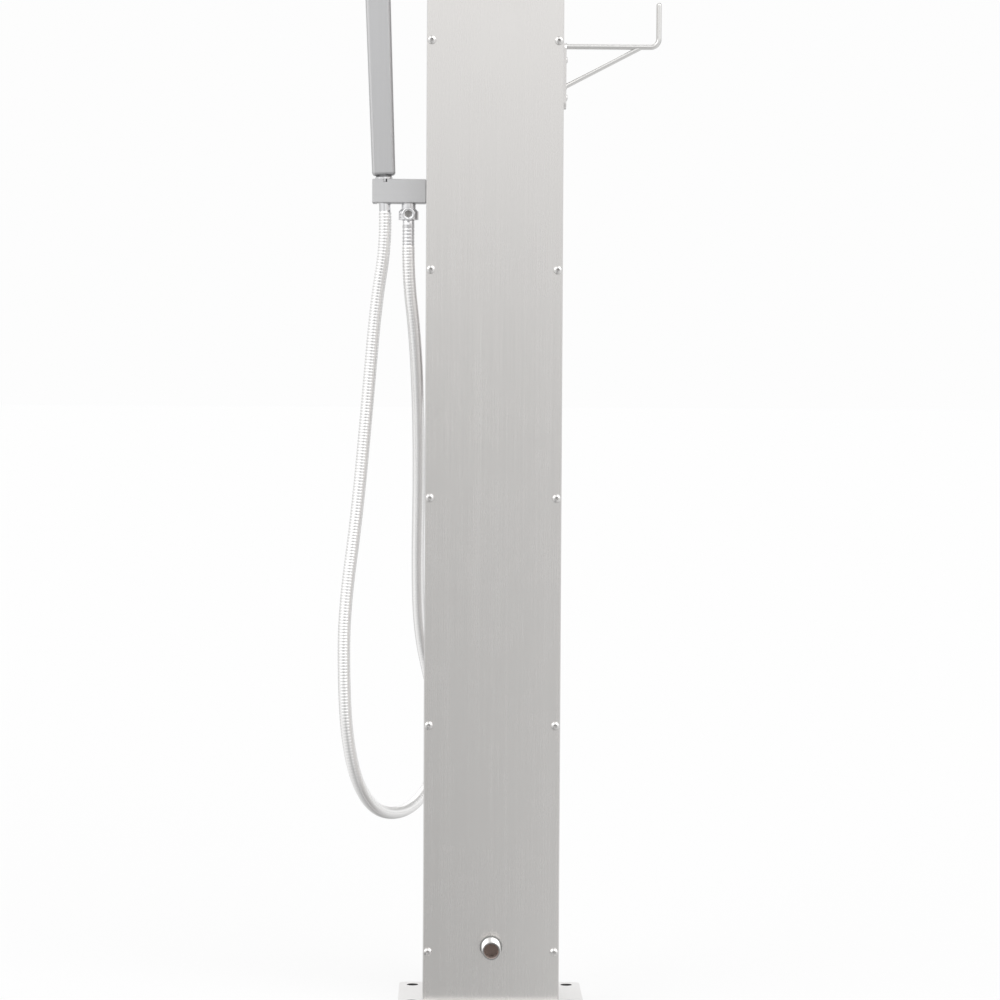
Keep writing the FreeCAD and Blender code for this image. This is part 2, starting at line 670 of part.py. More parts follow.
class WallValve:
    """A valve on the pipe line whose neck comes out through the front wall."""

    def __init__(self, height, cartridge_radius, plate_size):
        self.height = height
        self.cartridge_radius = cartridge_radius
        self.plate_size = plate_size
        self.neck_radius = cartridge_radius + VALVE_WALL
        self.chamber_radius = cartridge_radius + VALVE_WALL + 1.0
        self.neck_end = front - VALVE_NECK_REACH
        self.plate_face = front - PLATE_THICKNESS
        self.cartridge_face = self.neck_end + 1.0
        self.chamber_back = pipe_y + VALVE_BACK_REACH
        self.stem_end = self.plate_face - VALVE_STEM_REACH + COLUMN_SHEET

    def along(self, start, end, radius):
        """A round bar on the valve's own axis."""
        return rod((0, start, self.height), (0, end, self.height), radius)

    def body(self, side_port):
        """The brass body, with its pipe sockets and the cartridge's chamber."""
        low, high = self.height - VALVE_HALF_HEIGHT, self.height + VALVE_HALF_HEIGHT
        barrel = rod((0, pipe_y, low), (0, pipe_y, high), pipe_socket_radius)
        chamber = self.along(self.chamber_back, inner_front, self.chamber_radius)
        shoulder = self.along(inner_front + VALVE_SHOULDER_THICKNESS, inner_front,
                              self.chamber_radius + VALVE_SHOULDER)
        neck = self.along(inner_front, self.neck_end, self.neck_radius)
        pieces = [chamber, shoulder, neck]
        cuts = [rod((0, pipe_y, low), (0, pipe_y, high), waterway_radius),
                self.along(self.chamber_back - VALVE_WALL, self.neck_end, self.cartridge_radius)]
        for mouth, way in ((low, 1), (high, -1)):
            cuts.append(rod((0, pipe_y, mouth), (0, pipe_y, mouth + way * PIPE_SOCKET_DEPTH),
                            PIPE_RADIUS + PIPE_FIT))
        if side_port:
            mouth = diverter_side_mouth()
            centre, end = (0, pipe_y, self.height), (mouth, pipe_y, self.height)
            pieces.append(rod(centre, end, branch_socket_radius))
            cuts.append(rod(centre, end, branch_waterway_radius))
            cuts.append(rod((mouth - PIPE_SOCKET_DEPTH, pipe_y, self.height), end,
                            BRANCH_PIPE_RADIUS + PIPE_FIT))
        solid = barrel.fuse(pieces).removeSplitter()
        for cut in cuts:
            solid = solid.cut(cut)
        return solid

    def cartridge(self):
        """The ceramic cartridge, bored for its stem."""
        bottom = self.chamber_back - VALVE_WALL
        solid = self.along(bottom, self.cartridge_face, self.cartridge_radius - RUNNING_CLEARANCE)
        stem_start = self.stem_start() + MOVING_GAP
        return solid.cut(self.along(stem_start, self.cartridge_face,
                                    VALVE_STEM_RADIUS + RUNNING_CLEARANCE))

    def stem_start(self):
        """Where the stem begins inside the cartridge."""
        return (self.chamber_back + self.cartridge_face) / 2

    def stem(self):
        """The stem that the lever or knob turns."""
        return self.along(self.stem_start(), self.stem_end, VALVE_STEM_RADIUS)

    def locknut(self):
        """The nut that clamps the wall from outside."""
        outer = hexagon((0, front, self.height), (0, front - LOCKNUT_THICKNESS, self.height),
                        2 * (self.neck_radius + LOCKNUT_WALL))
        return outer.cut(self.along(front, front - LOCKNUT_THICKNESS,
                                    self.neck_radius + THREAD_CLEARANCE))

    def plate(self):
        """The square cover plate, hollow behind, over the locknut."""
        half = self.plate_size / 2
        outer = rounded_block((-half, half), (-half, half), (0, PLATE_THICKNESS), PLATE_CORNER_RADIUS)
        rim = [edge for edge in outer.Edges if edge.BoundBox.ZMin > PLATE_THICKNESS - 1e-6]
        outer = outer.makeFillet(PLATE_SHEET / 2, rim)
        inside = half - PLATE_SHEET
        hollow = rounded_block((-inside, inside), (-inside, inside), (0, PLATE_THICKNESS - PLATE_SHEET),
                               PLATE_CORNER_RADIUS - PLATE_SHEET)
        hole = rod((0, 0, 0), (0, 0, PLATE_THICKNESS), self.neck_radius + THREAD_CLEARANCE)
        return facing_front(outer.cut(hollow).cut(hole), self.height)

    def hub_blank(self, radius, length):
        """The round part of a lever or knob, bored for the stem and its grub screw."""
        start = self.plate_face - MOVING_GAP
        hub = self.along(start, start - length, radius)
        outer_rim = [edge for edge in hub.Edges if edge.BoundBox.YMax < start - length + 1e-6]
        return hub.makeFillet(1.5, outer_rim)

    def bored(self, hub, radius):
        """A hub with its stem hole and grub screw hole."""
        start = self.plate_face - MOVING_GAP
        hub = hub.cut(self.along(start, self.stem_end, VALVE_STEM_RADIUS + THREAD_CLEARANCE))
        return hub.cut(rod((0, self.grub_y(), self.height), (radius + 1, self.grub_y(), self.height),
                           GRUB_RADIUS + THREAD_CLEARANCE))

    def grub_y(self):
        """Depth of the grub screw."""
        return (self.plate_face + self.stem_end) / 2

    def grub_screw(self, radius):
        """The socket screw that clamps a hub on its stem."""
        start = (VALVE_STEM_RADIUS + THREAD_CLEARANCE, self.grub_y(), self.height)
        end = (radius - 1.0, self.grub_y(), self.height)
        socket_start = (radius - 1.0 - SCREW_SOCKET_DEPTH, self.grub_y(), self.height)
        return rod(start, end, GRUB_RADIUS).cut(hexagon(socket_start, end, SCREW_SOCKET_FLATS, Z_AXIS))


MAIN_VALVE = WallValve(MAIN_VALVE_HEIGHT, MAIN_CARTRIDGE_RADIUS, MAIN_PLATE_SIZE)
DIVERTER = WallValve(DIVERTER_HEIGHT, DIVERTER_CARTRIDGE_RADIUS, DIVERTER_PLATE_SIZE)


def main_lever():
    """The lever: a round hub with a flat bar that hangs down when the water is off."""
    valve = MAIN_VALVE
    hub = valve.hub_blank(LEVER_HUB_RADIUS, LEVER_HUB_LENGTH)
    end = valve.plate_face - MOVING_GAP - LEVER_HUB_LENGTH
    half = LEVER_WIDTH / 2
    bar = box((-half, half), (end, end + LEVER_THICKNESS), (valve.height - LEVER_REACH, valve.height))
    tip = [edge for edge in edges_along(bar, Y_AXIS) if edge.BoundBox.ZMax < valve.height - 1]
    bar = bar.makeFillet(half - 0.5, tip)
    return valve.bored(hub.fuse(bar).removeSplitter(), LEVER_HUB_RADIUS)


def diverter_knob():
    """The round knob with a raised grip across it."""
    valve = DIVERTER
    knob = valve.hub_blank(KNOB_RADIUS, KNOB_LENGTH)
    end = valve.plate_face - MOVING_GAP - KNOB_LENGTH
    half = KNOB_GRIP_WIDTH / 2
    grip = box((-half, half), (end - KNOB_GRIP_HEIGHT, end + 1),
               (valve.height - KNOB_RADIUS, valve.height + KNOB_RADIUS))
    grip = grip.common(valve.along(end + 1, end - KNOB_GRIP_HEIGHT, KNOB_RADIUS - 1.0))
    return valve.bored(knob.fuse(grip).removeSplitter(), KNOB_RADIUS)


# ---------------------------------------------------------------- overhead shower

def ball_centre():
    """Centre of the ball that the overhead shower tilts on."""
    return Vector(0, head_y, arm_z - ARM_SIZE / 2 - OUTLET_LENGTH - BALL_DROP)


def shower_arm():
    """The square arm, closed at its end, with a threaded spigot into the upper elbow."""
    half = ARM_SIZE / 2
    end = head_y - half
    outer = box((-half, half), (end, front), (arm_z - half, arm_z + half))
    outer = outer.makeFillet(ARM_WALL, edges_along(outer, Y_AXIS))
    inside = half - ARM_WALL
    inner = box((-inside, inside), (end + ARM_WALL, front - 2 * ARM_WALL), (arm_z - inside, arm_z + inside))
    spigot_end = inner_front + ELBOW_THREAD_DEPTH
    spigot = rod((0, front, arm_z), (0, spigot_end, arm_z), INLET_THREAD_RADIUS)
    arm = outer.cut(inner).fuse(spigot).removeSplitter()
    arm = arm.cut(rod((0, front - 2 * ARM_WALL, arm_z), (0, spigot_end, arm_z), ARM_SPIGOT_BORE))
    return arm.cut(rod((0, head_y, arm_z - half), (0, head_y, arm_z),
                       BALL_NECK_RADIUS + RUNNING_CLEARANCE))


def arm_flange():
    """The square cover plate round the arm's root."""
    half = ARM_PLATE_SIZE / 2
    plate = rounded_block((-half, half), (-half, half), (0, ARM_PLATE_THICKNESS), PLATE_CORNER_RADIUS)
    rim = [edge for edge in plate.Edges if edge.BoundBox.ZMin > ARM_PLATE_THICKNESS - 1e-6]
    plate = plate.makeFillet(PLATE_SHEET / 2, rim)
    hole = ARM_SIZE / 2 + THREAD_CLEARANCE
    opening = rounded_block((-hole, hole), (-hole, hole), (0, ARM_PLATE_THICKNESS), ARM_WALL)
    return facing_front(plate.cut(opening), arm_z)


def arm_outlet():
    """The short boss welded under the arm's end."""
    top = arm_z - ARM_SIZE / 2
    return tube((0, head_y, top), (0, head_y, top - OUTLET_LENGTH), OUTLET_RADIUS,
                BALL_NECK_RADIUS + RUNNING_CLEARANCE)


def head_ball():
    """The ball with its neck, which turns in the boss."""
    centre = ball_centre()
    top = centre + Z_AXIS * (arm_z - ARM_SIZE / 2 + ARM_WALL + MOVING_GAP + RETAINER_HEIGHT - centre.z)
    ball = Part.makeSphere(BALL_RADIUS, centre)
    ball = ball.fuse(rod(centre, top, BALL_NECK_RADIUS)).removeSplitter()
    return ball.cut(rod(centre - Z_AXIS * BALL_RADIUS, top, BALL_BORE_RADIUS))


def ball_retainer():
    """The ring on the neck's end, inside the arm."""
    bottom = arm_z - ARM_SIZE / 2 + ARM_WALL + MOVING_GAP
    return tube((0, head_y, bottom), (0, head_y, bottom + RETAINER_HEIGHT),
                BALL_NECK_RADIUS + RETAINER_WALL, BALL_NECK_RADIUS)


def ball_cavity():
    """The space that the ball runs in."""
    return Part.makeSphere(BALL_RADIUS + BALL_FIT, ball_centre())


def head_collar():
    """The nut that closes over the ball's upper half."""
    centre = ball_centre()
    collar = rod(centre, centre + Z_AXIS * COLLAR_TOP, COLLAR_RADIUS)
    top_rim = [edge for edge in collar.Edges if edge.BoundBox.ZMin > centre.z + COLLAR_TOP - 1e-6]
    return collar.makeFillet(1.5, top_rim).cut(ball_cavity())


def head_cup():
    """The cup under the ball, with its flange on the shower head."""
    centre = ball_centre()
    bottom = centre - Z_AXIS * CUP_DEPTH
    cup = rod(bottom, centre, COLLAR_RADIUS - 1.5)
    flange = rod(bottom - Z_AXIS * CUP_FLANGE_THICKNESS, bottom, CUP_FLANGE_RADIUS)
    cup = cup.fuse(flange).removeSplitter().cut(ball_cavity())
    return cup.cut(rod(bottom - Z_AXIS * CUP_FLANGE_THICKNESS, centre, BALL_RADIUS - 4.0))


def head_top():
    """Height of the shower head's flat top."""
    return ball_centre().z - CUP_DEPTH - CUP_FLANGE_THICKNESS


def shower_head():
    """The flat square pan of the overhead shower."""
    half = HEAD_SIZE / 2
    z = (head_top() - HEAD_HEIGHT, head_top())
    y = (head_y - half, head_y + half)
    outer = rounded_block((-half, half), y, z, HEAD_CORNER_RADIUS)
    inside = half - HEAD_SHEET
    hollow = rounded_block((-inside, inside), (head_y - inside, head_y + inside),
                           (z[0], z[1] - HEAD_SHEET), HEAD_CORNER_RADIUS - HEAD_SHEET)
    pan = outer.cut(hollow)
    return pan.cut(rod((0, head_y, z[0]), (0, head_y, z[1]), BALL_RADIUS - 4.0))


def nozzle_places():
    """Places of the overhead shower's nozzles, in plan."""
    middle = (HEAD_NOZZLE_COUNT - 1) / 2
    steps = [HEAD_NOZZLE_PITCH * (index - middle) for index in range(HEAD_NOZZLE_COUNT)]
    return [(x, head_y + y) for x in steps for y in steps]


def spray_plate():
    """The plate that closes the pan, holed for the nozzles."""
    half = HEAD_SIZE / 2 - HEAD_SHEET - SPRAY_PLATE_GAP
    bottom = head_top() - HEAD_HEIGHT
    top = bottom + SPRAY_PLATE_THICKNESS
    plate = rounded_block((-half, half), (head_y - half, head_y + half), (bottom, top),
                          HEAD_CORNER_RADIUS - HEAD_SHEET)
    holes = [rod((x, y, bottom), (x, y, top), HEAD_NOZZLE_RADIUS + THREAD_CLEARANCE)
             for x, y in nozzle_places()]
    return plate.cut(Part.makeCompound(holes))


def head_nozzles():
    """The rubber nozzles in the spray plate."""
    bottom = head_top() - HEAD_HEIGHT
    nozzles = []
    for x, y in nozzle_places():
        stem = rod((x, y, bottom), (x, y, bottom + SPRAY_PLATE_THICKNESS), HEAD_NOZZLE_RADIUS)
        tip = cone((x, y, bottom), (x, y, bottom - HEAD_NOZZLE_REACH), HEAD_NOZZLE_RADIUS,
                   HEAD_NOZZLE_RADIUS * 0.65)
        nozzles.append(stem.fuse(tip))
    return Part.makeCompound(nozzles)


# ---------------------------------------------------------------- holder block and stop valve

def in_socket(shape):
    """Move a shape from the socket's own frame to its tilted place in the block."""
    placed = shape.copy()
    tilt = Rotation(Y_AXIS, SOCKET_TILT)
    placed.Placement = Placement(Vector(socket_x, pipe_y, HOLDER_TOP), tilt)
    return placed


def cone_radius_at(height):
    """Radius of the hose's cone nut at a height in the socket's frame."""
    share = (CONE_RIM_RISE - height) / (CONE_RIM_RISE + HOLDER_HEIGHT)
    return CONE_RIM_RADIUS + (CONE_END_RADIUS - CONE_RIM_RADIUS) * share


def holder_block():
    """The square block with the hand shower's tapered socket and the water way to its outlet."""
    block = box((holder_start, holder_end), (holder_front, holder_back), (holder_bottom, HOLDER_TOP))
    block = block.makeChamfer(HOLDER_CHAMFER, [edge for edge in block.Edges
                                               if edge.BoundBox.XMax > holder_end - 1e-6])
    high, low = 2.0, -HOLDER_HEIGHT - 2.0
    taper = in_socket(cone((0, 0, low), (0, 0, high), cone_radius_at(low) + CONE_CLEARANCE,
                           cone_radius_at(high) + CONE_CLEARANCE))
    half_slot = SLOT_WIDTH / 2
    slot = box((socket_x - half_slot, socket_x + half_slot), (holder_front - 1, pipe_y),
               (holder_bottom - 1, HOLDER_TOP + 1))
    notch_x = socket_x - NOTCH_WIDTH / 2
    notch = box((notch_x - NOTCH_WIDTH / 2, notch_x + NOTCH_WIDTH / 2), (pipe_y, holder_back + 1),
                (HOLDER_TOP - NOTCH_DEPTH, HOLDER_TOP + 1))
    cuts = [taper, slot, notch,
            rod((holder_start, pipe_y, stud_z), (holder_start + STUD_DEPTH, pipe_y, stud_z),
                STUD_RADIUS + THREAD_CLEARANCE),
            rod((holder_start, pipe_y, stud_z), (outlet_x, pipe_y, stud_z), STOP_BORE_RADIUS),
            rod((outlet_x, pipe_y, holder_bottom), (outlet_x, pipe_y, stud_z), STOP_BORE_RADIUS),
            rod((outlet_x, pipe_y, holder_bottom), (outlet_x, pipe_y, holder_bottom + STOP_NECK_DEPTH),
                STOP_NECK_RADIUS + THREAD_CLEARANCE)]
    for cut in cuts:
        block = block.cut(cut)
    return block


def holder_gasket():
    """The thin rubber sheet between block and column."""
    sheet = box((side, holder_start), (holder_front + GASKET_INSET, holder_back - GASKET_INSET),
                (holder_bottom + GASKET_INSET, HOLDER_TOP - GASKET_INSET))
    return sheet.cut(rod((side, pipe_y, stud_z), (holder_start, pipe_y, stud_z),
                         STUD_RADIUS + HOLE_CLEARANCE))


def holder_stud():
    """The threaded tube that carries the block through the side wall."""
    return tube((inner_side - STUD_INNER_REACH, pipe_y, stud_z),
                (holder_start + STUD_DEPTH, pipe_y, stud_z), STUD_RADIUS, STUD_BORE_RADIUS)


def holder_locknut():
    """The nut that pulls the block against the wall, with its washer."""
    washer_face = inner_side - COLUMN_SHEET
    nut = hexagon((washer_face, pipe_y, stud_z),
                  (washer_face - HOLDER_LOCKNUT_THICKNESS, pipe_y, stud_z),
                  2 * (STUD_RADIUS + HOLDER_LOCKNUT_WALL), Z_AXIS)
    washer = rod((inner_side, pipe_y, stud_z), (washer_face, pipe_y, stud_z),
                 STUD_RADIUS + HOLDER_LOCKNUT_WALL + 1.5)
    hole = rod((inner_side, pipe_y, stud_z), (washer_face - HOLDER_LOCKNUT_THICKNESS, pipe_y, stud_z),
               STUD_RADIUS + THREAD_CLEARANCE)
    return nut.fuse(washer).removeSplitter().cut(hole)


def outlet_valve_body():
    """The small stop valve under the block, with its boss towards the back."""
    x, y = outlet_x, pipe_y
    neck = rod((x, y, stop_body_top), (x, y, holder_bottom + STOP_NECK_DEPTH), STOP_NECK_RADIUS)
    body = rod((x, y, stop_body_bottom), (x, y, stop_body_top), STOP_BODY_RADIUS)
    body = body.makeChamfer(STOP_BODY_CHAMFER, [edge for edge in body.Edges
                                                if edge.BoundBox.ZMin > stop_body_top - 1e-6])
    boss = rod((x, y + LOWER_FERRULE_RADIUS + MOVING_GAP, stop_middle),
               (x, y + STOP_BOSS_REACH, stop_middle), STOP_BOSS_RADIUS)
    tip = [edge for edge in boss.Edges if edge.BoundBox.YMin > y + STOP_BOSS_REACH - 1e-6]
    boss = boss.makeFillet(1.0, tip)
    solid = neck.fuse([body, boss]).removeSplitter()
    stem_start = y + STOP_BOSS_REACH - STOP_STEM_LENGTH
    cuts = [rod((x, y, stop_body_bottom), (x, y, holder_bottom + STOP_NECK_DEPTH), STOP_BORE_RADIUS),
            rod((x, stem_start - MOVING_GAP, stop_middle), (x, y + STOP_BOSS_REACH, stop_middle),
                STOP_STEM_RADIUS + RUNNING_CLEARANCE)]
    for cut in cuts:
        solid = solid.cut(cut)
    return solid


def outlet_valve_stem():
    """The stop valve's plug, with a cross hole and a hexagon socket to turn it."""
    x, y = outlet_x, pipe_y
    end = y + STOP_BOSS_REACH - 1.0
    start = y + STOP_BOSS_REACH - STOP_STEM_LENGTH
    stem = rod((x, start, stop_middle), (x, end, stop_middle), STOP_STEM_RADIUS)
    cross = rod((x, y, stop_middle - STOP_STEM_RADIUS - 1), (x, y, stop_middle + STOP_STEM_RADIUS + 1),
                STOP_BORE_RADIUS)
    socket = hexagon((x, end - STOP_HEX_DEPTH, stop_middle), (x, end, stop_middle), STOP_HEX_FLATS)
    return stem.cut(cross).cut(socket)


# ---------------------------------------------------------------- hose and its fittings

def socket_point(height):
    """A point on the socket's tilted axis."""
    return in_socket(Part.Vertex(0, 0, height)).Point


def hose_end_height():
    """Height of the hose's upper end in the socket's frame."""
    return -HOLDER_HEIGHT - UPPER_FERRULE_DROP


def hose_lower_ferrule():
    """The smooth sleeve under the stop valve."""
    return tube((outlet_x, pipe_y, lower_ferrule_end), (outlet_x, pipe_y, stop_body_bottom),
                LOWER_FERRULE_RADIUS, FERRULE_BORE_RADIUS)


def hose_upper_ferrule():
    """The smooth sleeve under the cone nut, which reaches up inside it."""
    seat = CONE_RIM_RISE - CONE_BORE_DEPTH - WASHER_THICKNESS
    sleeve = tube((0, 0, hose_end_height()), (0, 0, seat), UPPER_FERRULE_RADIUS, FERRULE_BORE_RADIUS)
    return in_socket(sleeve)


def hose_cone_nut():
    """The cone nut that sits in the holder's socket and takes the hand shower's spigot."""
    seat = CONE_RIM_RISE - CONE_BORE_DEPTH
    rim_bottom = 0.5
    body = cone((0, 0, -HOLDER_HEIGHT), (0, 0, rim_bottom), CONE_END_RADIUS, cone_radius_at(rim_bottom))
    rim = rod((0, 0, rim_bottom), (0, 0, CONE_RIM_RISE), cone_radius_at(rim_bottom))
    nut = body.fuse(rim).removeSplitter()
    spigot_hole = rod((0, 0, seat), (0, 0, CONE_RIM_RISE), SPIGOT_RADIUS + RUNNING_CLEARANCE)
    ferrule_hole = rod((0, 0, -HOLDER_HEIGHT), (0, 0, seat), UPPER_FERRULE_RADIUS + THREAD_CLEARANCE)
    return in_socket(nut.cut(spigot_hole).cut(ferrule_hole))


def hose_washer():
    """The sealing washer between the ferrule and the hand shower's spigot."""
    seat = CONE_RIM_RISE - CONE_BORE_DEPTH
    return in_socket(tube((0, 0, seat - WASHER_THICKNESS), (0, 0, seat), UPPER_FERRULE_RADIUS,
                          FERRULE_BORE_RADIUS))


def hose_route():
    """The hose's route: its two ends on the fittings' axes and the points between them."""
    start = Vector(outlet_x, pipe_y, lower_ferrule_end)
    end_height = hose_end_height()
    return ([start, start - Z_AXIS * HOSE_START_RUN] + [Vector(*point) for point in HOSE_POINTS]
            + [socket_point(end_height - HOSE_END_RUN), socket_point(end_height)])


def tangent_arcs(route):
    """Straight runs and tangent arcs along a route, as edges, and the arcs' radii."""
    edges, radii = [], []
    last = route[0]
    for before, corner, after in zip(route, route[1:], route[2:]):
        way_in = (corner - before).normalize()
        way_out = (after - corner).normalize()
        half_turn = way_in.getAngle(way_out) / 2
        setback = HOSE_ARC_SHARE * min((corner - before).Length, (after - corner).Length)
        radius = setback / math.tan(half_turn)
        start, end = corner - way_in * setback, corner + way_out * setback
        inward = (way_out - way_in).normalize()
        middle = corner + inward * (radius / math.cos(half_turn) - radius)
        edges.append(Part.LineSegment(last, start).toShape())
        edges.append(Part.Arc(start, middle, end).toShape())
        radii.append(radius)
        last = end
    edges.append(Part.LineSegment(last, route[-1]).toShape())
    return edges, radii


def point_and_way(edges, distance):
    """Point and direction at a distance along a chain of edges."""
    for edge in edges:
        if distance <= edge.Length or edge is edges[-1]:
            parameter = edge.getParameterByLength(min(distance, edge.Length))
            return edge.valueAt(parameter), edge.tangentAt(parameter)
        distance -= edge.Length


def hose_ring(edges, distance, radius, steady):
    """A circle across the hose at a distance along it, its seam kept to one side."""
    point, way = point_and_way(edges, distance)
    across = (steady - way * steady.dot(way)).normalize()
    ring = Part.Wire(Part.Circle(Vector(), Z_AXIS, radius).toShape())
    ring.Placement = Placement(point, Rotation(across, way.cross(across), way, "ZXY"))
    return ring


def shower_hose():
    """The ribbed hose with its bore, on straight runs and tangent arcs."""
    route = hose_route()
    edges, radii = tangent_arcs(route)
    length = sum(edge.Length for edge in edges)
    plain = 2 * HOSE_RADIUS
    pitch = (length - 2 * plain) / HOSE_RIB_COUNT
    foremost = min(route, key=lambda point: point.y)
    outermost = max(route, key=lambda point: point.x)
    steady = (outermost - foremost).cross(Z_AXIS).normalize()
    crest, slope = HOSE_CREST_SHARE * pitch, HOSE_SLOPE_SHARE * pitch
    groove_radius = HOSE_RADIUS - HOSE_GROOVE_DEPTH
    stations = [(0, groove_radius)]
    for rib in range(HOSE_RIB_COUNT):
        start = plain + rib * pitch
        stations += [(start, groove_radius), (start + slope, HOSE_RADIUS),
                     (start + slope + crest, HOSE_RADIUS), (start + 2 * slope + crest, groove_radius)]
    stations.append((length, groove_radius))
    skin = Part.makeLoft([hose_ring(edges, distance, radius, steady) for distance, radius in stations],
                         True, True)
    bore = Part.makeLoft([hose_ring(edges, distance, HOSE_BORE_RADIUS, steady)
                          for distance, _ in stations[::2]] + [
                              hose_ring(edges, length, HOSE_BORE_RADIUS, steady)], True, True)
    hose = skin.cut(bore)
    mean = sum((first[1] ** 2 + first[1] * second[1] + second[1] ** 2) / 3 * (second[0] - first[0])
               for first, second in zip(stations, stations[1:])) / length
    section = math.pi * (mean - HOSE_BORE_RADIUS ** 2)
    print("hose: length %.0f, volume / (section x length) %.3f, valid %s"
          % (length, hose.Volume / (section * length), hose.isValid()))
    print("hose arc radii:", " ".join("%.0f" % radius for radius in radii))
    print("hose runs:", " ".join("%.0f" % (b - a).Length for a, b in zip(route, route[1:])))
    print("hose least gap to itself %.1f" % least_gap(edges, length))
    return hose


def least_gap(edges, length):
    """Least clear distance between parts of the hose that are far apart along it."""
    step = HOSE_RADIUS
    count = int(length / step)
    points = [point_and_way(edges, step * index)[0] for index in range(count)]
    apart = int(4 * HOSE_RADIUS * math.pi / step)
    gaps = [(a - b).Length for index, a in enumerate(points) for b in points[index + apart:]]
    return min(gaps) - 2 * HOSE_RADIUS


# ---------------------------------------------------------------- hand shower

def spray_face_span():
    """Lower and upper end of the hand shower's spray face, in the socket's frame."""
    top = HAND_TOP - SPRAY_FACE_TOP_MARGIN
    return top - SPRAY_FACE_LENGTH, top


def hand_depth_at(height):
    """Front to back size of the hand shower at a height."""
    share = (height - HAND_BOTTOM) / (HAND_TOP - HAND_BOTTOM)
    return HAND_BOTTOM_DEPTH + (HAND_TOP_DEPTH - HAND_BOTTOM_DEPTH) * share


def spray_face_y():
    """Where the spray face lies, in front of the hand shower's axis."""
    return -hand_depth_at(spray_face_span()[0]) / 2


def hand_shower_body():
    """The hollow bar-shaped hand shower, with a seat for its spray face."""
    outer, inner = [], []
    hollow_bottom = HAND_BOTTOM + SPIGOT_DEPTH + HAND_END_WALL
    for height, end, width, depth in (
            (HAND_BOTTOM, hollow_bottom, HAND_BOTTOM_WIDTH, HAND_BOTTOM_DEPTH),
            (HAND_TOP, HAND_TOP - HAND_END_WALL, HAND_TOP_WIDTH, HAND_TOP_DEPTH)):
        hollow_x, hollow_y = HAND_HOLLOW_WIDTH / 2, depth / 2 - HAND_WALL
        outer.append(rounded_wire((-width / 2, width / 2), (-depth / 2, depth / 2), height,
                                  HAND_CORNER_RADIUS))
        inner.append(rounded_wire((-hollow_x, hollow_x), (-hollow_y, hollow_y), end,
                                  HAND_CORNER_RADIUS))
    bar = Part.makeLoft(outer, True, True)
    bar = bar.makeFillet(HAND_END_RADIUS, [edge for edge in bar.Edges if edge.BoundBox.ZLength < 1e-6])
    low, high = spray_face_span()
    half = SPRAY_FACE_WIDTH / 2 + THREAD_CLEARANCE
    seat = box((-half, half), (-HAND_TOP_DEPTH, spray_face_y() + SPRAY_FACE_THICKNESS),
               (low - THREAD_CLEARANCE, high + THREAD_CLEARANCE))
    cuts = [Part.makeLoft(inner, True, True), seat,
            rod((0, 0, HAND_BOTTOM), (0, 0, hollow_bottom), HAND_BORE_RADIUS),
            rod((0, 0, HAND_BOTTOM), (0, 0, HAND_BOTTOM + SPIGOT_DEPTH), SPIGOT_RADIUS + THREAD_CLEARANCE)]
    for cut in cuts:
        bar = bar.cut(cut)
    return in_socket(bar)


def hand_shower_spigot():
    """The threaded neck under the hand shower, which turns in the cone nut."""
    bottom = CONE_RIM_RISE - CONE_BORE_DEPTH + MOVING_GAP
    return in_socket(tube((0, 0, bottom), (0, 0, HAND_BOTTOM + SPIGOT_DEPTH), SPIGOT_RADIUS,
                          SPIGOT_BORE_RADIUS))


def hand_nozzle_places():
    """Places of the hand shower's nozzles, across and up, in the socket's frame."""
    low, high = spray_face_span()
    columns = [HAND_NOZZLE_PITCH * (index - (HAND_NOZZLE_COLUMNS - 1) / 2)
               for index in range(HAND_NOZZLE_COLUMNS)]
    rows = [(low + high) / 2 + HAND_NOZZLE_PITCH * (index - (HAND_NOZZLE_ROWS - 1) / 2)
            for index in range(HAND_NOZZLE_ROWS)]
    return [(x, z) for x in columns for z in rows]


def hand_shower_face():
    """The spray face set into the hand shower."""
    low, high = spray_face_span()
    half = SPRAY_FACE_WIDTH / 2
    y = spray_face_y()
    face = box((-half, half), (y, y + SPRAY_FACE_THICKNESS), (low, high))
    holes = [rod((x, y, z), (x, y + SPRAY_FACE_THICKNESS, z), HAND_NOZZLE_RADIUS + THREAD_CLEARANCE)
             for x, z in hand_nozzle_places()]
    return in_socket(face.cut(Part.makeCompound(holes)))


def hand_shower_nozzles():
    """The rubber nozzles in the spray face."""
    y = spray_face_y()
    nozzles = [rod((x, y - HAND_NOZZLE_REACH, z), (x, y + SPRAY_FACE_THICKNESS, z), HAND_NOZZLE_RADIUS)
               for x, z in hand_nozzle_places()]
    return in_socket(Part.makeCompound(nozzles))


# ---------------------------------------------------------------- towel hook

def hook_plate():
    """The upright plate that the hook is welded on."""
    half = HOOK_PLATE_WIDTH / 2
    top = hook_plate_top()
    bottom = top - HOOK_PLATE_HEIGHT
    plate = box((-side - HOOK_PLATE_THICKNESS, -side), (-half, half), (bottom, top))
    plate = plate.makeFillet(HOOK_PLATE_CORNER_RADIUS, edges_along(plate, X_AXIS))
    holes = [rod((-side - HOOK_PLATE_THICKNESS, 0, z), (-side, 0, z), SCREW_RADIUS + HOLE_CLEARANCE)
             for z in hook_screw_heights()]
    return plate.cut(Part.makeCompound(holes))


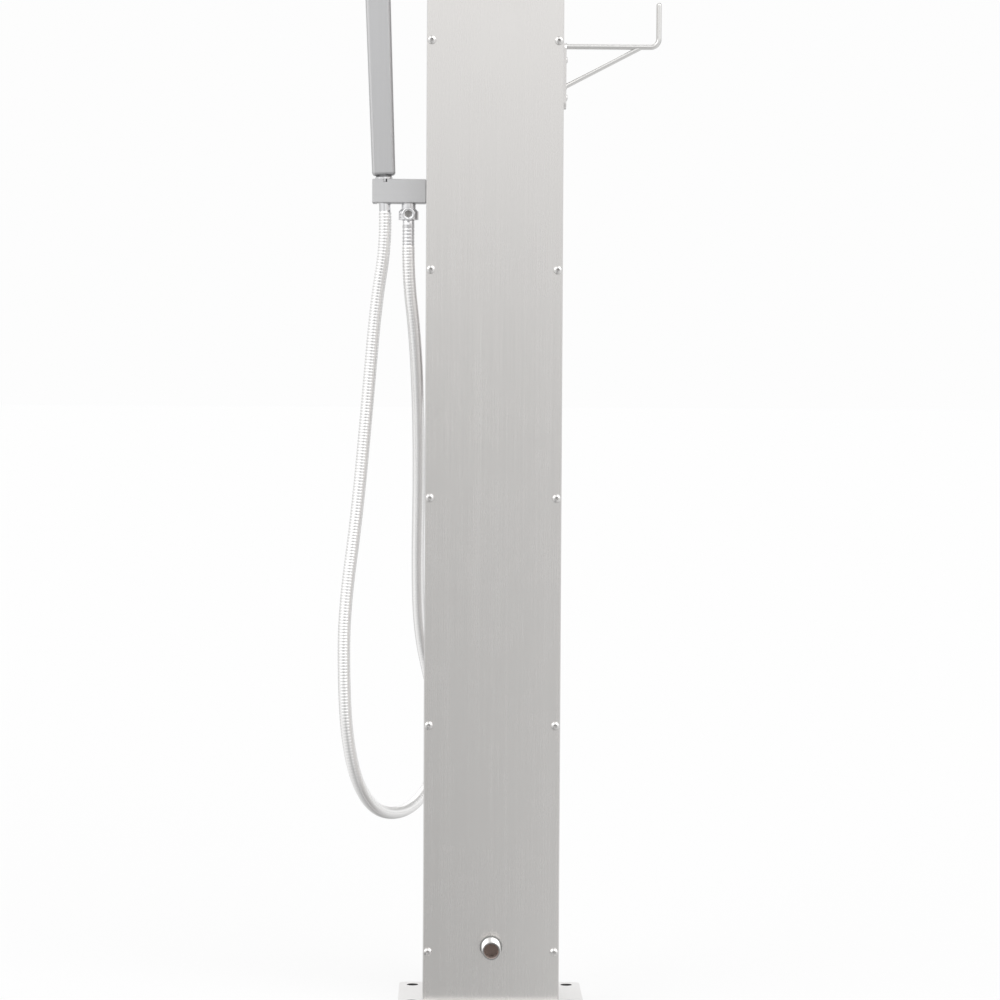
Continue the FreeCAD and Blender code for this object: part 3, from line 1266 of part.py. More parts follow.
def hook_arm():
    """The rod welded on the plate, with its upturned end and round tip."""
    root_x = -side - HOOK_PLATE_THICKNESS
    end_x = -side - HOOK_REACH + HOOK_ROD_RADIUS
    z, bend = HOOK_ARM_HEIGHT, HOOK_BEND_RADIUS
    slant = bend * (1 - math.sqrt(0.5))
    points = [Vector(root_x, 0, z), Vector(end_x + bend, 0, z), Vector(end_x + slant, 0, z + slant),
              Vector(end_x, 0, z + bend), Vector(end_x, 0, z + HOOK_UPTURN - HOOK_ROD_RADIUS)]
    path = Part.Wire([Part.LineSegment(points[0], points[1]).toShape(),
                      Part.Arc(points[1], points[2], points[3]).toShape(),
                      Part.LineSegment(points[3], points[4]).toShape()])
    ring = Part.Wire(Part.makeCircle(HOOK_ROD_RADIUS, points[0], X_AXIS))
    arm = path.makePipeShell([ring], True, False)
    return arm.fuse(Part.makeSphere(HOOK_ROD_RADIUS, points[4])).removeSplitter()


def hook_brace():
    """The slanted rod between plate and arm, cut to meet both."""
    root = Vector(-side, 0, HOOK_ARM_HEIGHT - BRACE_DROP)
    end = Vector(-side - HOOK_PLATE_THICKNESS - BRACE_REACH, 0, HOOK_ARM_HEIGHT)
    brace = rod(root, end, BRACE_RADIUS)
    wall = box((-side - HOOK_PLATE_THICKNESS, side), (-side, side),
               (HOOK_ARM_HEIGHT - HOOK_PLATE_HEIGHT, HOOK_ARM_HEIGHT + HOOK_PLATE_HEIGHT))
    brace = brace.cut(wall).cut(hook_arm())
    return max(brace.Solids, key=lambda solid: solid.Volume)


def hook_fixings():
    """The plate's two screws, each with its nut inside the column."""
    fixings = []
    for z in hook_screw_heights():
        screw = domed_screw(Vector(-side - HOOK_PLATE_THICKNESS, 0, z), -X_AXIS, HOOK_SCREW_LENGTH)
        nut = hexagon((-inner_side, 0, z), (HOOK_NUT_HEIGHT - inner_side, 0, z), HOOK_NUT_FLATS, Z_AXIS)
        fixings.append(screw.fuse(nut).removeSplitter())
    return Part.makeCompound(fixings)


# ---------------------------------------------------------------- all the pieces

def build():
    """Every piece of the post, by name."""
    return {
        "column_shell": column_shell(),
        "rear_cover": rear_cover(),
        "rear_cover_screws": rear_cover_screws(),
        "top_cap": top_cap(),
        "base_plate": base_plate(),
        "inlet_nipple": inlet_nipple(),
        "inlet_grommet": inlet_grommet(),
        "inlet_elbow": inlet_elbow(),
        "supply_pipe": pipe_between(0, 1),
        "link_pipe": pipe_between(2, 3),
        "riser_pipe": pipe_between(4, 5),
        "hand_branch_pipe": hand_branch_pipe(),
        "compression_nuts": compression_nuts(),
        "pipe_clips": pipe_clips(),
        "main_valve_body": MAIN_VALVE.body(False),
        "main_valve_cartridge": MAIN_VALVE.cartridge(),
        "main_valve_stem": MAIN_VALVE.stem(),
        "main_valve_locknut": MAIN_VALVE.locknut(),
        "main_valve_plate": MAIN_VALVE.plate(),
        "main_lever": main_lever(),
        "main_lever_screw": MAIN_VALVE.grub_screw(LEVER_HUB_RADIUS),
        "diverter_body": DIVERTER.body(True),
        "diverter_cartridge": DIVERTER.cartridge(),
        "diverter_stem": DIVERTER.stem(),
        "diverter_locknut": DIVERTER.locknut(),
        "diverter_plate": DIVERTER.plate(),
        "diverter_knob": diverter_knob(),
        "diverter_knob_screw": DIVERTER.grub_screw(KNOB_RADIUS),
        "top_elbow": top_elbow(),
        "elbow_fixings": elbow_fixings(),
        "arm_flange": arm_flange(),
        "shower_arm": shower_arm(),
        "arm_outlet": arm_outlet(),
        "head_ball": head_ball(),
        "ball_retainer": ball_retainer(),
        "head_collar": head_collar(),
        "head_cup": head_cup(),
        "shower_head": shower_head(),
        "spray_plate": spray_plate(),
        "head_nozzles": head_nozzles(),
        "holder_block": holder_block(),
        "holder_gasket": holder_gasket(),
        "holder_stud": holder_stud(),
        "holder_locknut": holder_locknut(),
        "branch_elbow": branch_elbow(),
        "outlet_valve_body": outlet_valve_body(),
        "outlet_valve_stem": outlet_valve_stem(),
        "hose_lower_ferrule": hose_lower_ferrule(),
        "shower_hose": shower_hose(),
        "hose_upper_ferrule": hose_upper_ferrule(),
        "hose_cone_nut": hose_cone_nut(),
        "hose_washer": hose_washer(),
        "hand_shower_body": hand_shower_body(),
        "hand_shower_spigot": hand_shower_spigot(),
        "hand_shower_face": hand_shower_face(),
        "hand_shower_nozzles": hand_shower_nozzles(),
        "hook_plate": hook_plate(),
        "hook_arm": hook_arm(),
        "hook_brace": hook_brace(),
        "hook_fixings": hook_fixings(),
    }


os.makedirs("parts", exist_ok=True)
for name, shape in build().items():
    if not shape.isValid():
        print("not valid:", name)
    shape.exportStep("parts/" + name + ".step")
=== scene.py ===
"""Outdoor shower post: finishes, detailed pieces, studio and camera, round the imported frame.

Everything is in metres in the frame's own axes: +Z up, the front towards -Y, the hand shower on the +X
side and the towel hook on the -X side.
"""
from __future__ import annotations

import json
import logging
import math
from dataclasses import dataclass, field
from enum import Enum
from typing import Any, Callable, Iterable, Mapping, Sequence

import bmesh
import bpy
from mathutils import Matrix, Vector

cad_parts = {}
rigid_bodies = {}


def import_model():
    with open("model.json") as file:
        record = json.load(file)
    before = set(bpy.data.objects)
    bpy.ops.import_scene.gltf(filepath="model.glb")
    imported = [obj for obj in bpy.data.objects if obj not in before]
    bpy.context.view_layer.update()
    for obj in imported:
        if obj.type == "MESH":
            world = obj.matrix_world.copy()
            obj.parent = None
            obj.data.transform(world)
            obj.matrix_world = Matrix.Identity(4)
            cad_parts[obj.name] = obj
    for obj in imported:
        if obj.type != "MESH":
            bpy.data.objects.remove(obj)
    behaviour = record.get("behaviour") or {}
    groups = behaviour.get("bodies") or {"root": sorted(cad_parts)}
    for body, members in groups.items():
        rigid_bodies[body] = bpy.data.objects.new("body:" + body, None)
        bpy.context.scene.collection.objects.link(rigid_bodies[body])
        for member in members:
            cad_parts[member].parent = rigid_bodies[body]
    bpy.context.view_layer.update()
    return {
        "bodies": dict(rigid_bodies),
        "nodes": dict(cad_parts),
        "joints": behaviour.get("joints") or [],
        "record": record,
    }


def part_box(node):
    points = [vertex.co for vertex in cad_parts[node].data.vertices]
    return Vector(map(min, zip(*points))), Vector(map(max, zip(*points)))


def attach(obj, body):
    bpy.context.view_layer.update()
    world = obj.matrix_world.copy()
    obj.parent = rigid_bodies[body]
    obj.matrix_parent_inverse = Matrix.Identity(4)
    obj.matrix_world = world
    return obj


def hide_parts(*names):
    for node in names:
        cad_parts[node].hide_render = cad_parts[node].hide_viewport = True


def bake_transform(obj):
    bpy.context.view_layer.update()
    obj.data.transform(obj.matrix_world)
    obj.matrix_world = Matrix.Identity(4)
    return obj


log = logging.getLogger("shower_post")

Colour = tuple[float, float, float]
MM = 0.001

# The gap that vertices are merged over, how level an end face lies, and the slack that tells a
# socket's or a bore's own faces from the rest.
MERGED = 0.001 * MM
LEVEL = 0.9
PAST = 1.01
WITHIN = 0.95
ROUND = 1.001

# The CAD nodes whose edges are broken, and how wide.
SOFT_EDGE = 0.5 * MM
SOFTENED = ("top_cap", "holder_block", "hand_shower_body", "main_valve_plate", "diverter_plate", "arm_flange",
            "shower_arm", "hook_plate", "main_lever", "diverter_knob")


# ---------------------------------------------------------------- shader building

class Socket:
    """An output socket that adds a Math node for each operator used on it."""

    def __init__(self, shader: "Shader", out: bpy.types.NodeSocket) -> None:
        """Keep the socket and the shader that new nodes go into.

        Args:
            shader: the shader under construction.
            out: the output socket to wrap.
        """
        self.shader = shader
        self.out = out

    def _math(self, operation: str, first: Any, second: Any) -> "Socket":
        """Add one Math node.

        Args:
            operation: the node's operation.
            first: the first value or socket.
            second: the second value or socket.

        Returns:
            The node's result.
        """
        return self.shader.node("ShaderNodeMath", {"operation": operation}, {0: first, 1: second})["Value"]

    def __add__(self, other: Any) -> "Socket":
        """Sum."""
        return self._math("ADD", self, other)

    def __radd__(self, other: Any) -> "Socket":
        """Sum, reflected."""
        return self._math("ADD", other, self)

    def __sub__(self, other: Any) -> "Socket":
        """Difference."""
        return self._math("SUBTRACT", self, other)

    def __rsub__(self, other: Any) -> "Socket":
        """Difference, reflected."""
        return self._math("SUBTRACT", other, self)

    def __mul__(self, other: Any) -> "Socket":
        """Product."""
        return self._math("MULTIPLY", self, other)

    def __rmul__(self, other: Any) -> "Socket":
        """Product, reflected."""
        return self._math("MULTIPLY", other, self)

    def at_least(self, other: Any) -> "Socket":
        """The larger of this and another value."""
        return self._math("MAXIMUM", self, other)

    def size(self) -> "Socket":
        """The value without its sign."""
        return self._math("ABSOLUTE", self, 0.0)

    def above(self, other: Any) -> "Socket":
        """1 where this is larger than another value, and 0 elsewhere."""
        return self._math("GREATER_THAN", self, other)

    def bearing(self, ahead: Any) -> "Socket":
        """The angle of this value, taken sideways, from another, taken ahead."""
        return self._math("ARCTAN2", self, ahead)


class Outputs:
    """A node's outputs, by name, as Socket."""

    def __init__(self, shader: "Shader", made: bpy.types.Node) -> None:
        """Keep the node.

        Args:
            shader: the shader under construction.
            made: the node.
        """
        self.shader = shader
        self.made = made

    def __getitem__(self, name: str | int) -> Socket:
        """The output of that name or number."""
        return Socket(self.shader, self.made.outputs[name])


class Shader:
    """A node tree under construction."""

    def __init__(self, tree: bpy.types.NodeTree) -> None:
        """Start with an empty tree.

        Args:
            tree: the tree of a material or a world.
        """
        self.tree = tree
        self.tree.nodes.clear()

    def node(self, kind: str, settings: Mapping[str, Any] | None = None,
             inputs: Mapping[str | int, Any] | None = None) -> Outputs:
        """Add one node.

        Args:
            kind: the node's type.
            settings: the node's own properties; "stops" gives a ramp's (place, grey or colour) pairs.
            inputs: values or sockets for its inputs, by name or number.

        Returns:
            The node's outputs.
        """
        made = self.tree.nodes.new(kind)
        for name, value in (settings or {}).items():
            if name == "stops":
                self._set_stops(made.color_ramp, value)
            else:
                setattr(made, name, value)
        for name, value in (inputs or {}).items():
            if isinstance(value, Socket):
                self.tree.links.new(value.out, made.inputs[name])
            else:
                made.inputs[name].default_value = value
        return Outputs(self, made)

    @staticmethod
    def _set_stops(ramp: bpy.types.ColorRamp, stops: Sequence[tuple[float, Any]]) -> None:
        """Give a ramp its stops.

        Args:
            ramp: the ramp, fresh, with its two stops.
            stops: places from 0 to 1, each with a grey or a colour.
        """
        while len(ramp.elements) < len(stops):
            ramp.elements.new(0.5)
        for element, (place, shade) in zip(ramp.elements, stops):
            colour = (shade,) * 3 if isinstance(shade, (int, float)) else shade
            element.position = place
            element.color = (*colour, 1.0)

    def object_place(self, scale: Sequence[float] = (1.0, 1.0, 1.0)) -> Socket:
        """The surface point in the object's own axes, stretched.

        Args:
            scale: factor on each axis.

        Returns:
            The vector.
        """
        place = self.node("ShaderNodeTexCoord")["Object"]
        return self.node("ShaderNodeMapping", {}, {"Vector": place, "Scale": scale})["Vector"]

    def noise(self, place: Socket, scale: float, detail: float = 2.0, roughness: float = 0.5) -> Socket:
        """Grey noise from 0 to 1, about 0.5.

        Args:
            place: where it is read.
            scale: its fineness.
            detail: number of finer layers.
            roughness: weight of the finer layers.

        Returns:
            The noise value.
        """
        inputs = {"Vector": place, "Scale": scale, "Detail": detail, "Roughness": roughness}
        return self.node("ShaderNodeTexNoise", {}, inputs)["Fac"]

    def grey(self, stops: Sequence[tuple[float, float]], place: Socket) -> Socket:
        """Read a grey ramp.

        Args:
            stops: the ramp's places and greys.
            place: where it is read.

        Returns:
            The grey.
        """
        colour = self.node("ShaderNodeValToRGB", {"stops": stops}, {"Fac": place})["Color"]
        return self.node("ShaderNodeSeparateColor", {}, {0: colour})["Red"]

    def blend(self, share: Any, low: Any, high: Any) -> Socket:
        """Mix two colours.

        Args:
            share: the second colour's share.
            low: the first colour.
            high: the second colour.

        Returns:
            The mixed colour.
        """
        settings = {"data_type": "RGBA", "clamp_factor": True}
        ends = [(*end, 1.0) if isinstance(end, tuple) else end for end in (low, high)]
        return self.node("ShaderNodeMix", settings, {0: share, 6: ends[0], 7: ends[1]})[2]

    def bump(self, height: Socket, depth: float, strength: float) -> Socket:
        """A normal from a height.

        Args:
            height: the height, from 0 to 1.
            depth: what a height of 1 is, in metres.
            strength: how much of it shows.

        Returns:
            The normal.
        """
        return self.node("ShaderNodeBump", {}, {"Height": height, "Distance": depth,
                                                "Strength": strength})["Normal"]

    def surface(self, inputs: Mapping[str, Any]) -> None:
        """Close a material with one Principled shader.

        Args:
            inputs: values or sockets for the shader's inputs.
        """
        shader = self.node("ShaderNodeBsdfPrincipled", {}, inputs)["BSDF"]
        self.node("ShaderNodeOutputMaterial", {}, {"Surface": shader})


# ---------------------------------------------------------------- finishes

class Grain(Enum):
    """The way that brushing lines run, as the stretch of the noise on each axis."""

    UPRIGHT = (1.0, 1.0, 0.004)
    ACROSS = (0.004, 1.0, 1.0)
    ALONG = (1.0, 0.004, 1.0)
    NONE = (1.0, 1.0, 1.0)


@dataclass(frozen=True)
class Finish:
    """A finish that can make its own material."""

    name: str
    tone: Colour

    def material(self) -> bpy.types.Material:
        """Make the material, or find it if it has been made.

        Returns:
            The material.
        """
        found = bpy.data.materials.get(self.name)
        if found:
            return found
        made = bpy.data.materials.new(self.name)
        made.use_nodes = True
        self.build(Shader(made.node_tree))
        return made

    def build(self, shader: Shader) -> None:
        """Add the nodes.

        Args:
            shader: the empty shader to fill.
        """
        raise NotImplementedError

    def shaded(self, factor: float) -> Colour:
        """The finish's tone, lighter or darker."""
        return tuple(min(channel * factor, 1.0) for channel in self.tone)


@dataclass(frozen=True)
class ShadedRecess:
    """A hole or notch whose walls get painted shade, with its middle and its half sizes."""

    middle: tuple[float, float, float]
    half: tuple[float, float, float]

    def mask(self, shader: Shader) -> Socket:
        """1 inside the recess and 0 outside, in the object's own axes.

        Args:
            shader: the shader under construction.

        Returns:
            The mask.
        """
        parts = shader.node("ShaderNodeSeparateXYZ", {}, {0: shader.object_place()})
        inside: Any = 1.0
        for axis, middle, half in zip("XYZ", self.middle, self.half):
            inside = (half - (parts[axis] - middle).size()).above(0.0) * inside
        return inside


@dataclass(frozen=True)
class BrushedSteel(Finish):
    """Stainless sheet with fine brushing, faint clouds of handling and water marks, and painted shade in
    recesses.
    """

    grain: Grain = Grain.UPRIGHT
    roughness: float = 0.26
    contrast: float = 1.0
    shaded_recesses: tuple[ShadedRecess, ...] = ()
    line_scale: float = 2600.0
    broad_scale: float = 0.12
    fine_share: float = 0.6
    line_depth: float = 0.00002
    line_show: float = 0.6
    line_gloss: float = 0.16
    darker: float = 0.09
    lighter: float = 0.08
    cloud_scale: float = 7.0
    cloud_gloss: float = 0.1
    stain_start: float = 0.35
    stain_share: float = 0.35
    stain: float = 0.86
    mark_scale: float = 55.0
    mark_gloss: float = 0.04
    recess_shade: float = 0.2

    def build(self, shader: Shader) -> None:
        """Brushing lines in two widths, clouds in the gloss, a faint stain, and painted shade in recesses.

        Args:
            shader: the empty shader to fill.
        """
        along = shader.object_place(self.grain.value)
        fine = shader.noise(along, self.line_scale, 2.0, 0.6)
        broad = shader.noise(along, self.line_scale * self.broad_scale, 3.0, 0.6)
        plain = shader.object_place()
        clouds = shader.noise(plain, self.cloud_scale, 4.0, 0.6)
        marks = shader.noise(plain, self.mark_scale, 3.0, 0.7)
        lines = fine * self.fine_share + broad * (1.0 - self.fine_share)
        brushed = shader.blend(lines, self.shaded(1.0 - self.darker * self.contrast),
                               self.shaded(1.0 + self.lighter * self.contrast))
        stained = (clouds - self.stain_start) * self.stain_share
        colour = shader.blend(stained, brushed, self.shaded(self.stain))
        # Painted shade: each recess's walls are darkened to recess_shade of the tone.
        for recess in self.shaded_recesses:
            colour = shader.blend(recess.mask(shader), colour, self.shaded(self.recess_shade))
        rough = (self.roughness + (lines - 0.5) * self.line_gloss + (clouds - 0.5) * self.cloud_gloss
                 + (marks - 0.5) * self.mark_gloss)
        shader.surface({"Base Color": colour, "Metallic": 1.0, "Roughness": rough,
                        "Normal": shader.bump(lines, self.line_depth, self.line_show)})


@dataclass(frozen=True)
class PolishedMetal(Finish):
    """Plated or polished metal, with a breath of haze."""

    roughness: float = 0.12
    metallic: float = 1.0
    haze_scale: float = 90.0
    haze_gloss: float = 0.06
    dust_start: float = 0.4
    dust_share: float = 0.5
    dust: float = 0.88
    speck_scale: float = 900.0
    speck_gloss: float = 0.03

    def build(self, shader: Shader) -> None:
        """Haze in the gloss and a trace of dust in the colour.

        Args:
            shader: the empty shader to fill.
        """
        place = shader.object_place()
        haze = shader.noise(place, self.haze_scale, 3.0, 0.6)
        specks = shader.noise(place, self.speck_scale, 2.0, 0.5)
        dusty = (haze - self.dust_start) * self.dust_share
        colour = shader.blend(dusty, self.tone, self.shaded(self.dust))
        rough = self.roughness + (haze - 0.5) * self.haze_gloss + (specks - 0.5) * self.speck_gloss
        shader.surface({"Base Color": colour, "Metallic": self.metallic, "Roughness": rough})


@dataclass(frozen=True)
class TurnedBrass(Finish):
    """Machined brass with tool marks and a little tarnish."""

    roughness: float = 0.28
    tool_scale: float = 1500.0
    tool_depth: float = 0.00002
    tool_show: float = 0.5
    tarnish_scale: float = 60.0
    tarnish_start: float = 0.45
    tarnish_share: float = 1.6
    tarnish: float = 0.55
    tarnish_gloss: float = 0.25

    def build(self, shader: Shader) -> None:
        """Fine tool marks, and tarnish in patches.

        Args:
            shader: the empty shader to fill.
        """
        place = shader.object_place()
        tool = shader.noise(place, self.tool_scale, 2.0, 0.5)
        patches = shader.noise(place, self.tarnish_scale, 4.0, 0.6)
        tarnished = (patches - self.tarnish_start) * self.tarnish_share
        colour = shader.blend(tarnished, self.tone, self.shaded(self.tarnish))
        shader.surface({"Base Color": colour, "Metallic": 1.0,
                        "Roughness": self.roughness + (patches - 0.5) * self.tarnish_gloss,
                        "Normal": shader.bump(tool, self.tool_depth, self.tool_show)})


@dataclass(frozen=True)
class Moulded(Finish):
    """Moulded rubber or plastic with a fine skin."""

    roughness: float = 0.55
    skin_scale: float = 2200.0
    skin_depth: float = 0.00003
    skin_show: float = 0.5
    skin_gloss: float = 0.2
    dust_scale: float = 120.0
    dust_start: float = 0.4
    dust_share: float = 0.5
    dust: float = 1.4

    def build(self, shader: Shader) -> None:
        """A fine skin, with dust that lightens it in patches.

        Args:
            shader: the empty shader to fill.
        """
        place = shader.object_place()
        skin = shader.noise(place, self.skin_scale, 2.0, 0.5)
        dusty = (shader.noise(place, self.dust_scale, 3.0, 0.6) - self.dust_start) * self.dust_share
        colour = shader.blend(dusty, self.tone, self.shaded(self.dust))
        shader.surface({"Base Color": colour, "Roughness": self.roughness + (skin - 0.5) * self.skin_gloss,
                        "Normal": shader.bump(skin, self.skin_depth, self.skin_show)})


# Painted shade in the base plate's bolt holes and in the holder block's notch.
BOLT_HOLE_SHADE = tuple(ShadedRecess((side * 87.0 * MM, end * 50.0 * MM, 3.0 * MM), (6.8 * MM, 6.8 * MM, 2.9 * MM))
                   for side in (-1, 1) for end in (-1, 1))
BLOCK_NOTCH_SHADE = ShadedRecess((120.65 * MM, -18.0 * MM, 911.5 * MM), (2.0 * MM, 8.0 * MM, 2.6 * MM))

PANEL = BrushedSteel("steel_panel", (0.725, 0.71, 0.695), contrast=0.45)
SHEET = BrushedSteel("steel_sheet", (0.725, 0.71, 0.70), roughness=0.3)
CAP = BrushedSteel("steel_cap", (0.725, 0.71, 0.70), grain=Grain.ACROSS, roughness=0.34)
PLATE = BrushedSteel("steel_plate", (0.86, 0.85, 0.84), grain=Grain.ACROSS, roughness=0.34,
                     shaded_recesses=BOLT_HOLE_SHADE)
SATIN = BrushedSteel("steel_satin", (0.56, 0.56, 0.565), roughness=0.42, line_scale=1800.0)
SATIN_ACROSS = BrushedSteel("steel_satin_across", (0.62, 0.62, 0.625), grain=Grain.ACROSS, roughness=0.42,
                            line_scale=1800.0, shaded_recesses=(BLOCK_NOTCH_SHADE,))
CONTROL = BrushedSteel("steel_control", (0.70, 0.69, 0.675), roughness=0.24, line_scale=2000.0)
ARM = BrushedSteel("steel_arm", (0.725, 0.71, 0.70), grain=Grain.ALONG, roughness=0.32)
HEAD = BrushedSteel("steel_head", (0.725, 0.71, 0.70), grain=Grain.ACROSS, roughness=0.30)
TURNED = BrushedSteel("steel_turned", (0.70, 0.69, 0.675), grain=Grain.ACROSS, roughness=0.22,
                      line_scale=2400.0)
ROD = BrushedSteel("steel_rod", (0.68, 0.675, 0.665), grain=Grain.NONE, roughness=0.24,
                   line_scale=900.0, contrast=0.4)
FASTENER = PolishedMetal("steel_fastener", (0.72, 0.71, 0.70), roughness=0.24)
CHROME = PolishedMetal("chrome", (0.78, 0.78, 0.79), roughness=0.09)
# Painted shade on the inlet barrel between the thread's turns.
THREAD_ROOT_SHADE = PolishedMetal("thread_root_shade", (0.34, 0.335, 0.33), roughness=0.3)
HOSE_METAL = PolishedMetal("hose_metal", (0.95, 0.945, 0.94), roughness=0.24, metallic=0.88)
PIPE = PolishedMetal("pipe_steel", (0.62, 0.61, 0.59), roughness=0.3)
BRASS = TurnedBrass("brass", (0.72, 0.56, 0.28))
RUBBER = Moulded("black_rubber", (0.025, 0.025, 0.026), roughness=0.6)
CERAMIC_CASE = Moulded("cartridge_case", (0.06, 0.06, 0.065), roughness=0.45)
GREY_NYLON = Moulded("grey_nylon", (0.50, 0.49, 0.48), roughness=0.5)
SPIGOT = Moulded("spigot_plastic", (0.26, 0.26, 0.265), roughness=0.4)
SOCKET_SHADE = Moulded("socket_shade", (0.74, 0.73, 0.72), roughness=0.7)
BORE_SHADE = Moulded("bore_shade", (0.66, 0.57, 0.53), roughness=0.6)


# ---------------------------------------------------------------- camera and studio

@dataclass
class PhotoCamera:
    """The camera, at the photograph's place and angle."""

    place: Vector = field(default_factory=lambda: Vector((0.0551, 3.6229, 0.6710)))
    yaw: float = 0.0175
    pitch: float = 0.0316
    roll: float = 0.0053
    lens: float = 117.42
    sensor: float = 36.0

    def build(self) -> None:
        """Add the camera and make it the scene's own."""
        right, ahead, up = Vector((-1, 0, 0)), Vector((0, -1, 0)), Vector((0, 0, 1))
        right, ahead = (right * math.cos(self.yaw) - ahead * math.sin(self.yaw),
                        right * math.sin(self.yaw) + ahead * math.cos(self.yaw))
        ahead, up = (ahead * math.cos(self.pitch) - up * math.sin(self.pitch),
                     ahead * math.sin(self.pitch) + up * math.cos(self.pitch))
        right, up = (right * math.cos(self.roll) + up * math.sin(self.roll),
                     up * math.cos(self.roll) - right * math.sin(self.roll))
        data = bpy.data.cameras.new("photo_camera")
        data.lens = self.lens
        data.sensor_width = self.sensor
        camera = bpy.data.objects.new("photo_camera", data)
        bpy.context.scene.collection.objects.link(camera)
        turn = Matrix((right, up, -ahead)).transposed().to_4x4()
        camera.matrix_world = Matrix.Translation(self.place) @ turn
        bpy.context.scene.camera = camera


@dataclass
class Studio:
    """A pale floor in a white room, a darker room in front of the object, and soft even lamps."""

    floor_size: float = 400.0
    white: float = 0.982
    floor_matt: float = 0.20
    floor_glow: float = 0.779
    sky_light: float = 0.55
    gloss_white: float = 1.0
    gloss_high: float = 1.25
    gloss_floor: float = 0.86
    floor_share: float = 0.85
    gloss_dark: float = 0.06
    room: tuple[tuple[float, float], ...] = (
        (-180.0, 0.72), (-150.0, 0.66), (-120.0, 0.50), (-95.0, 0.40), (-75.0, 0.28), (-58.0, 0.0),
        (-26.0, 0.34), (-8.0, 0.44), (0.0, 0.68), (5.7, 0.74), (6.6, 1.0), (9.4, 1.0), (10.2, 0.74),
        (15.6, 0.68), (22.8, 0.40), (34.0, 0.30), (60.0, 0.0), (75.0, 0.28), (95.0, 0.40),
        (120.0, 0.50), (150.0, 0.66), (180.0, 0.72))
    room_top: tuple[float, float] = (-0.01, 0.11)
    room_top_behind: tuple[tuple[float, float], ...] = ((0.0, 0.0), (0.06, 1.0), (0.30, 1.0), (0.5, 0.25))
    ceiling: tuple[tuple[float, float], ...] = ((0.35, 1.0), (0.75, 0.72))
    room_behind: float = 0.9
    facing: tuple[tuple[float, float], ...] = ((0.4, 0.0), (0.6, 1.0))
    lamps: tuple[tuple[str, tuple[float, float, float], float, float], ...] = (
        ("lamp_right", (-2.3, 2.6, 2.9), 50.0, 0.9),
        ("lamp_left", (2.6, 1.8, 2.3), 50.0, 0.6),
        ("lamp_front", (0.9, -2.0, 3.4), 60.0, 0.8))

    def build(self) -> None:
        """Add the floor, the world and the lamps."""
        self._floor()
        self._world()
        for name, source, spread, power in self.lamps:
            self._lamp(name, source, spread, power)

    def _room(self, shader: Shader, across: Socket, ahead: Socket) -> Socket:
        """How dark the room is along a way, from 0 to 1, by its bearing in degrees from ahead.

        Args:
            shader: the shader under construction.
            across: the way's part along X.
            ahead: the way's part along Y.

        Returns:
            The share of darkness.
        """
        stops = [(bearing / 360.0 + 0.5, shade) for bearing, shade in self.room]
        return shader.grey(stops, across.bearing(ahead) * (0.5 / math.pi) + 0.5)

    def _floor(self) -> None:
        """A wide floor that is white for the camera and keeps the object's soft shadow."""
        Bench.clear()
        bpy.ops.mesh.primitive_plane_add(size=self.floor_size)
        floor = bpy.context.object
        floor.name = "studio_floor"
        material = bpy.data.materials.new("studio_floor")
        material.use_nodes = True
        shader = Shader(material.node_tree)
        path = shader.node("ShaderNodeLightPath")
        parts = shader.node("ShaderNodeSeparateXYZ", {}, {0: shader.object_place()})
        room = self._room(shader, parts["X"], parts["Y"] + self.room_behind)
        gloss = self.gloss_floor - room * self.floor_share * (self.gloss_floor - self.gloss_dark)
        seen = path["Is Camera Ray"].at_least(path["Is Transmission Ray"])
        strength = seen * self.floor_glow + path["Is Glossy Ray"] * gloss
        glow = shader.node("ShaderNodeEmission", {}, {"Color": (1.0,) * 4, "Strength": strength})["Emission"]
        grey = (self.floor_matt,) * 3 + (1.0,)
        matt = shader.node("ShaderNodeBsdfDiffuse", {}, {"Color": grey})["BSDF"]
        both = shader.node("ShaderNodeAddShader", {}, {0: glow, 1: matt})[0]
        shader.node("ShaderNodeOutputMaterial", {}, {"Surface": both})
        floor.data.materials.append(material)

    def _world(self) -> None:
        """White for the camera, the room and a bright ceiling for gloss, and an even soft light."""
        world = bpy.data.worlds.new("studio_world")
        world.use_nodes = True
        bpy.context.scene.world = world
        shader = Shader(world.node_tree)
        path = shader.node("ShaderNodeLightPath")
        way = shader.node("ShaderNodeTexCoord")["Generated"]
        parts = shader.node("ShaderNodeSeparateXYZ", {}, {0: way})
        low, high = self.room_top
        rise = shader.grey([(low, 0.0), (high, 1.0)], parts["Z"])
        facing = shader.grey(self.facing, parts["Y"] * 0.5 + 0.5)
        behind = shader.grey(self.room_top_behind, parts["Z"])
        room = self._room(shader, parts["X"], parts["Y"]) * (1.0 - rise * facing - behind * (1.0 - facing))
        bright = self.gloss_white + rise * facing * (self.gloss_high - self.gloss_white)
        gloss = (bright - room * (self.gloss_white - self.gloss_dark)) * shader.grey(self.ceiling, parts["Z"])
        seen = path["Is Camera Ray"].at_least(path["Is Transmission Ray"])
        shiny = path["Is Glossy Ray"] * (1.0 - seen)
        plain = 1.0 - seen.at_least(shiny)
        strength = seen * self.white + shiny * gloss + plain * self.sky_light
        inputs = {"Color": (1.0,) * 4, "Strength": strength}
        sky = shader.node("ShaderNodeBackground", {}, inputs)["Background"]
        shader.node("ShaderNodeOutputWorld", {}, {"Surface": sky})

    @staticmethod
    def _lamp(name: str, source: Sequence[float], spread: float, power: float) -> None:
        """Add one wide soft lamp that lights the whole floor alike.

        Args:
            name: the lamp's name.
            source: a place on the way to the lamp.
            spread: the width of its disc, in degrees.
            power: its strength.
        """
        data = bpy.data.lights.new(name, "SUN")
        data.angle = math.radians(spread)
        data.energy = power
        lamp = bpy.data.objects.new(name, data)
        lamp.location = source
        lamp.rotation_euler = (-Vector(source)).to_track_quat("-Z", "Y").to_euler()
        bpy.context.scene.collection.objects.link(lamp)


# ---------------------------------------------------------------- modelling by hand

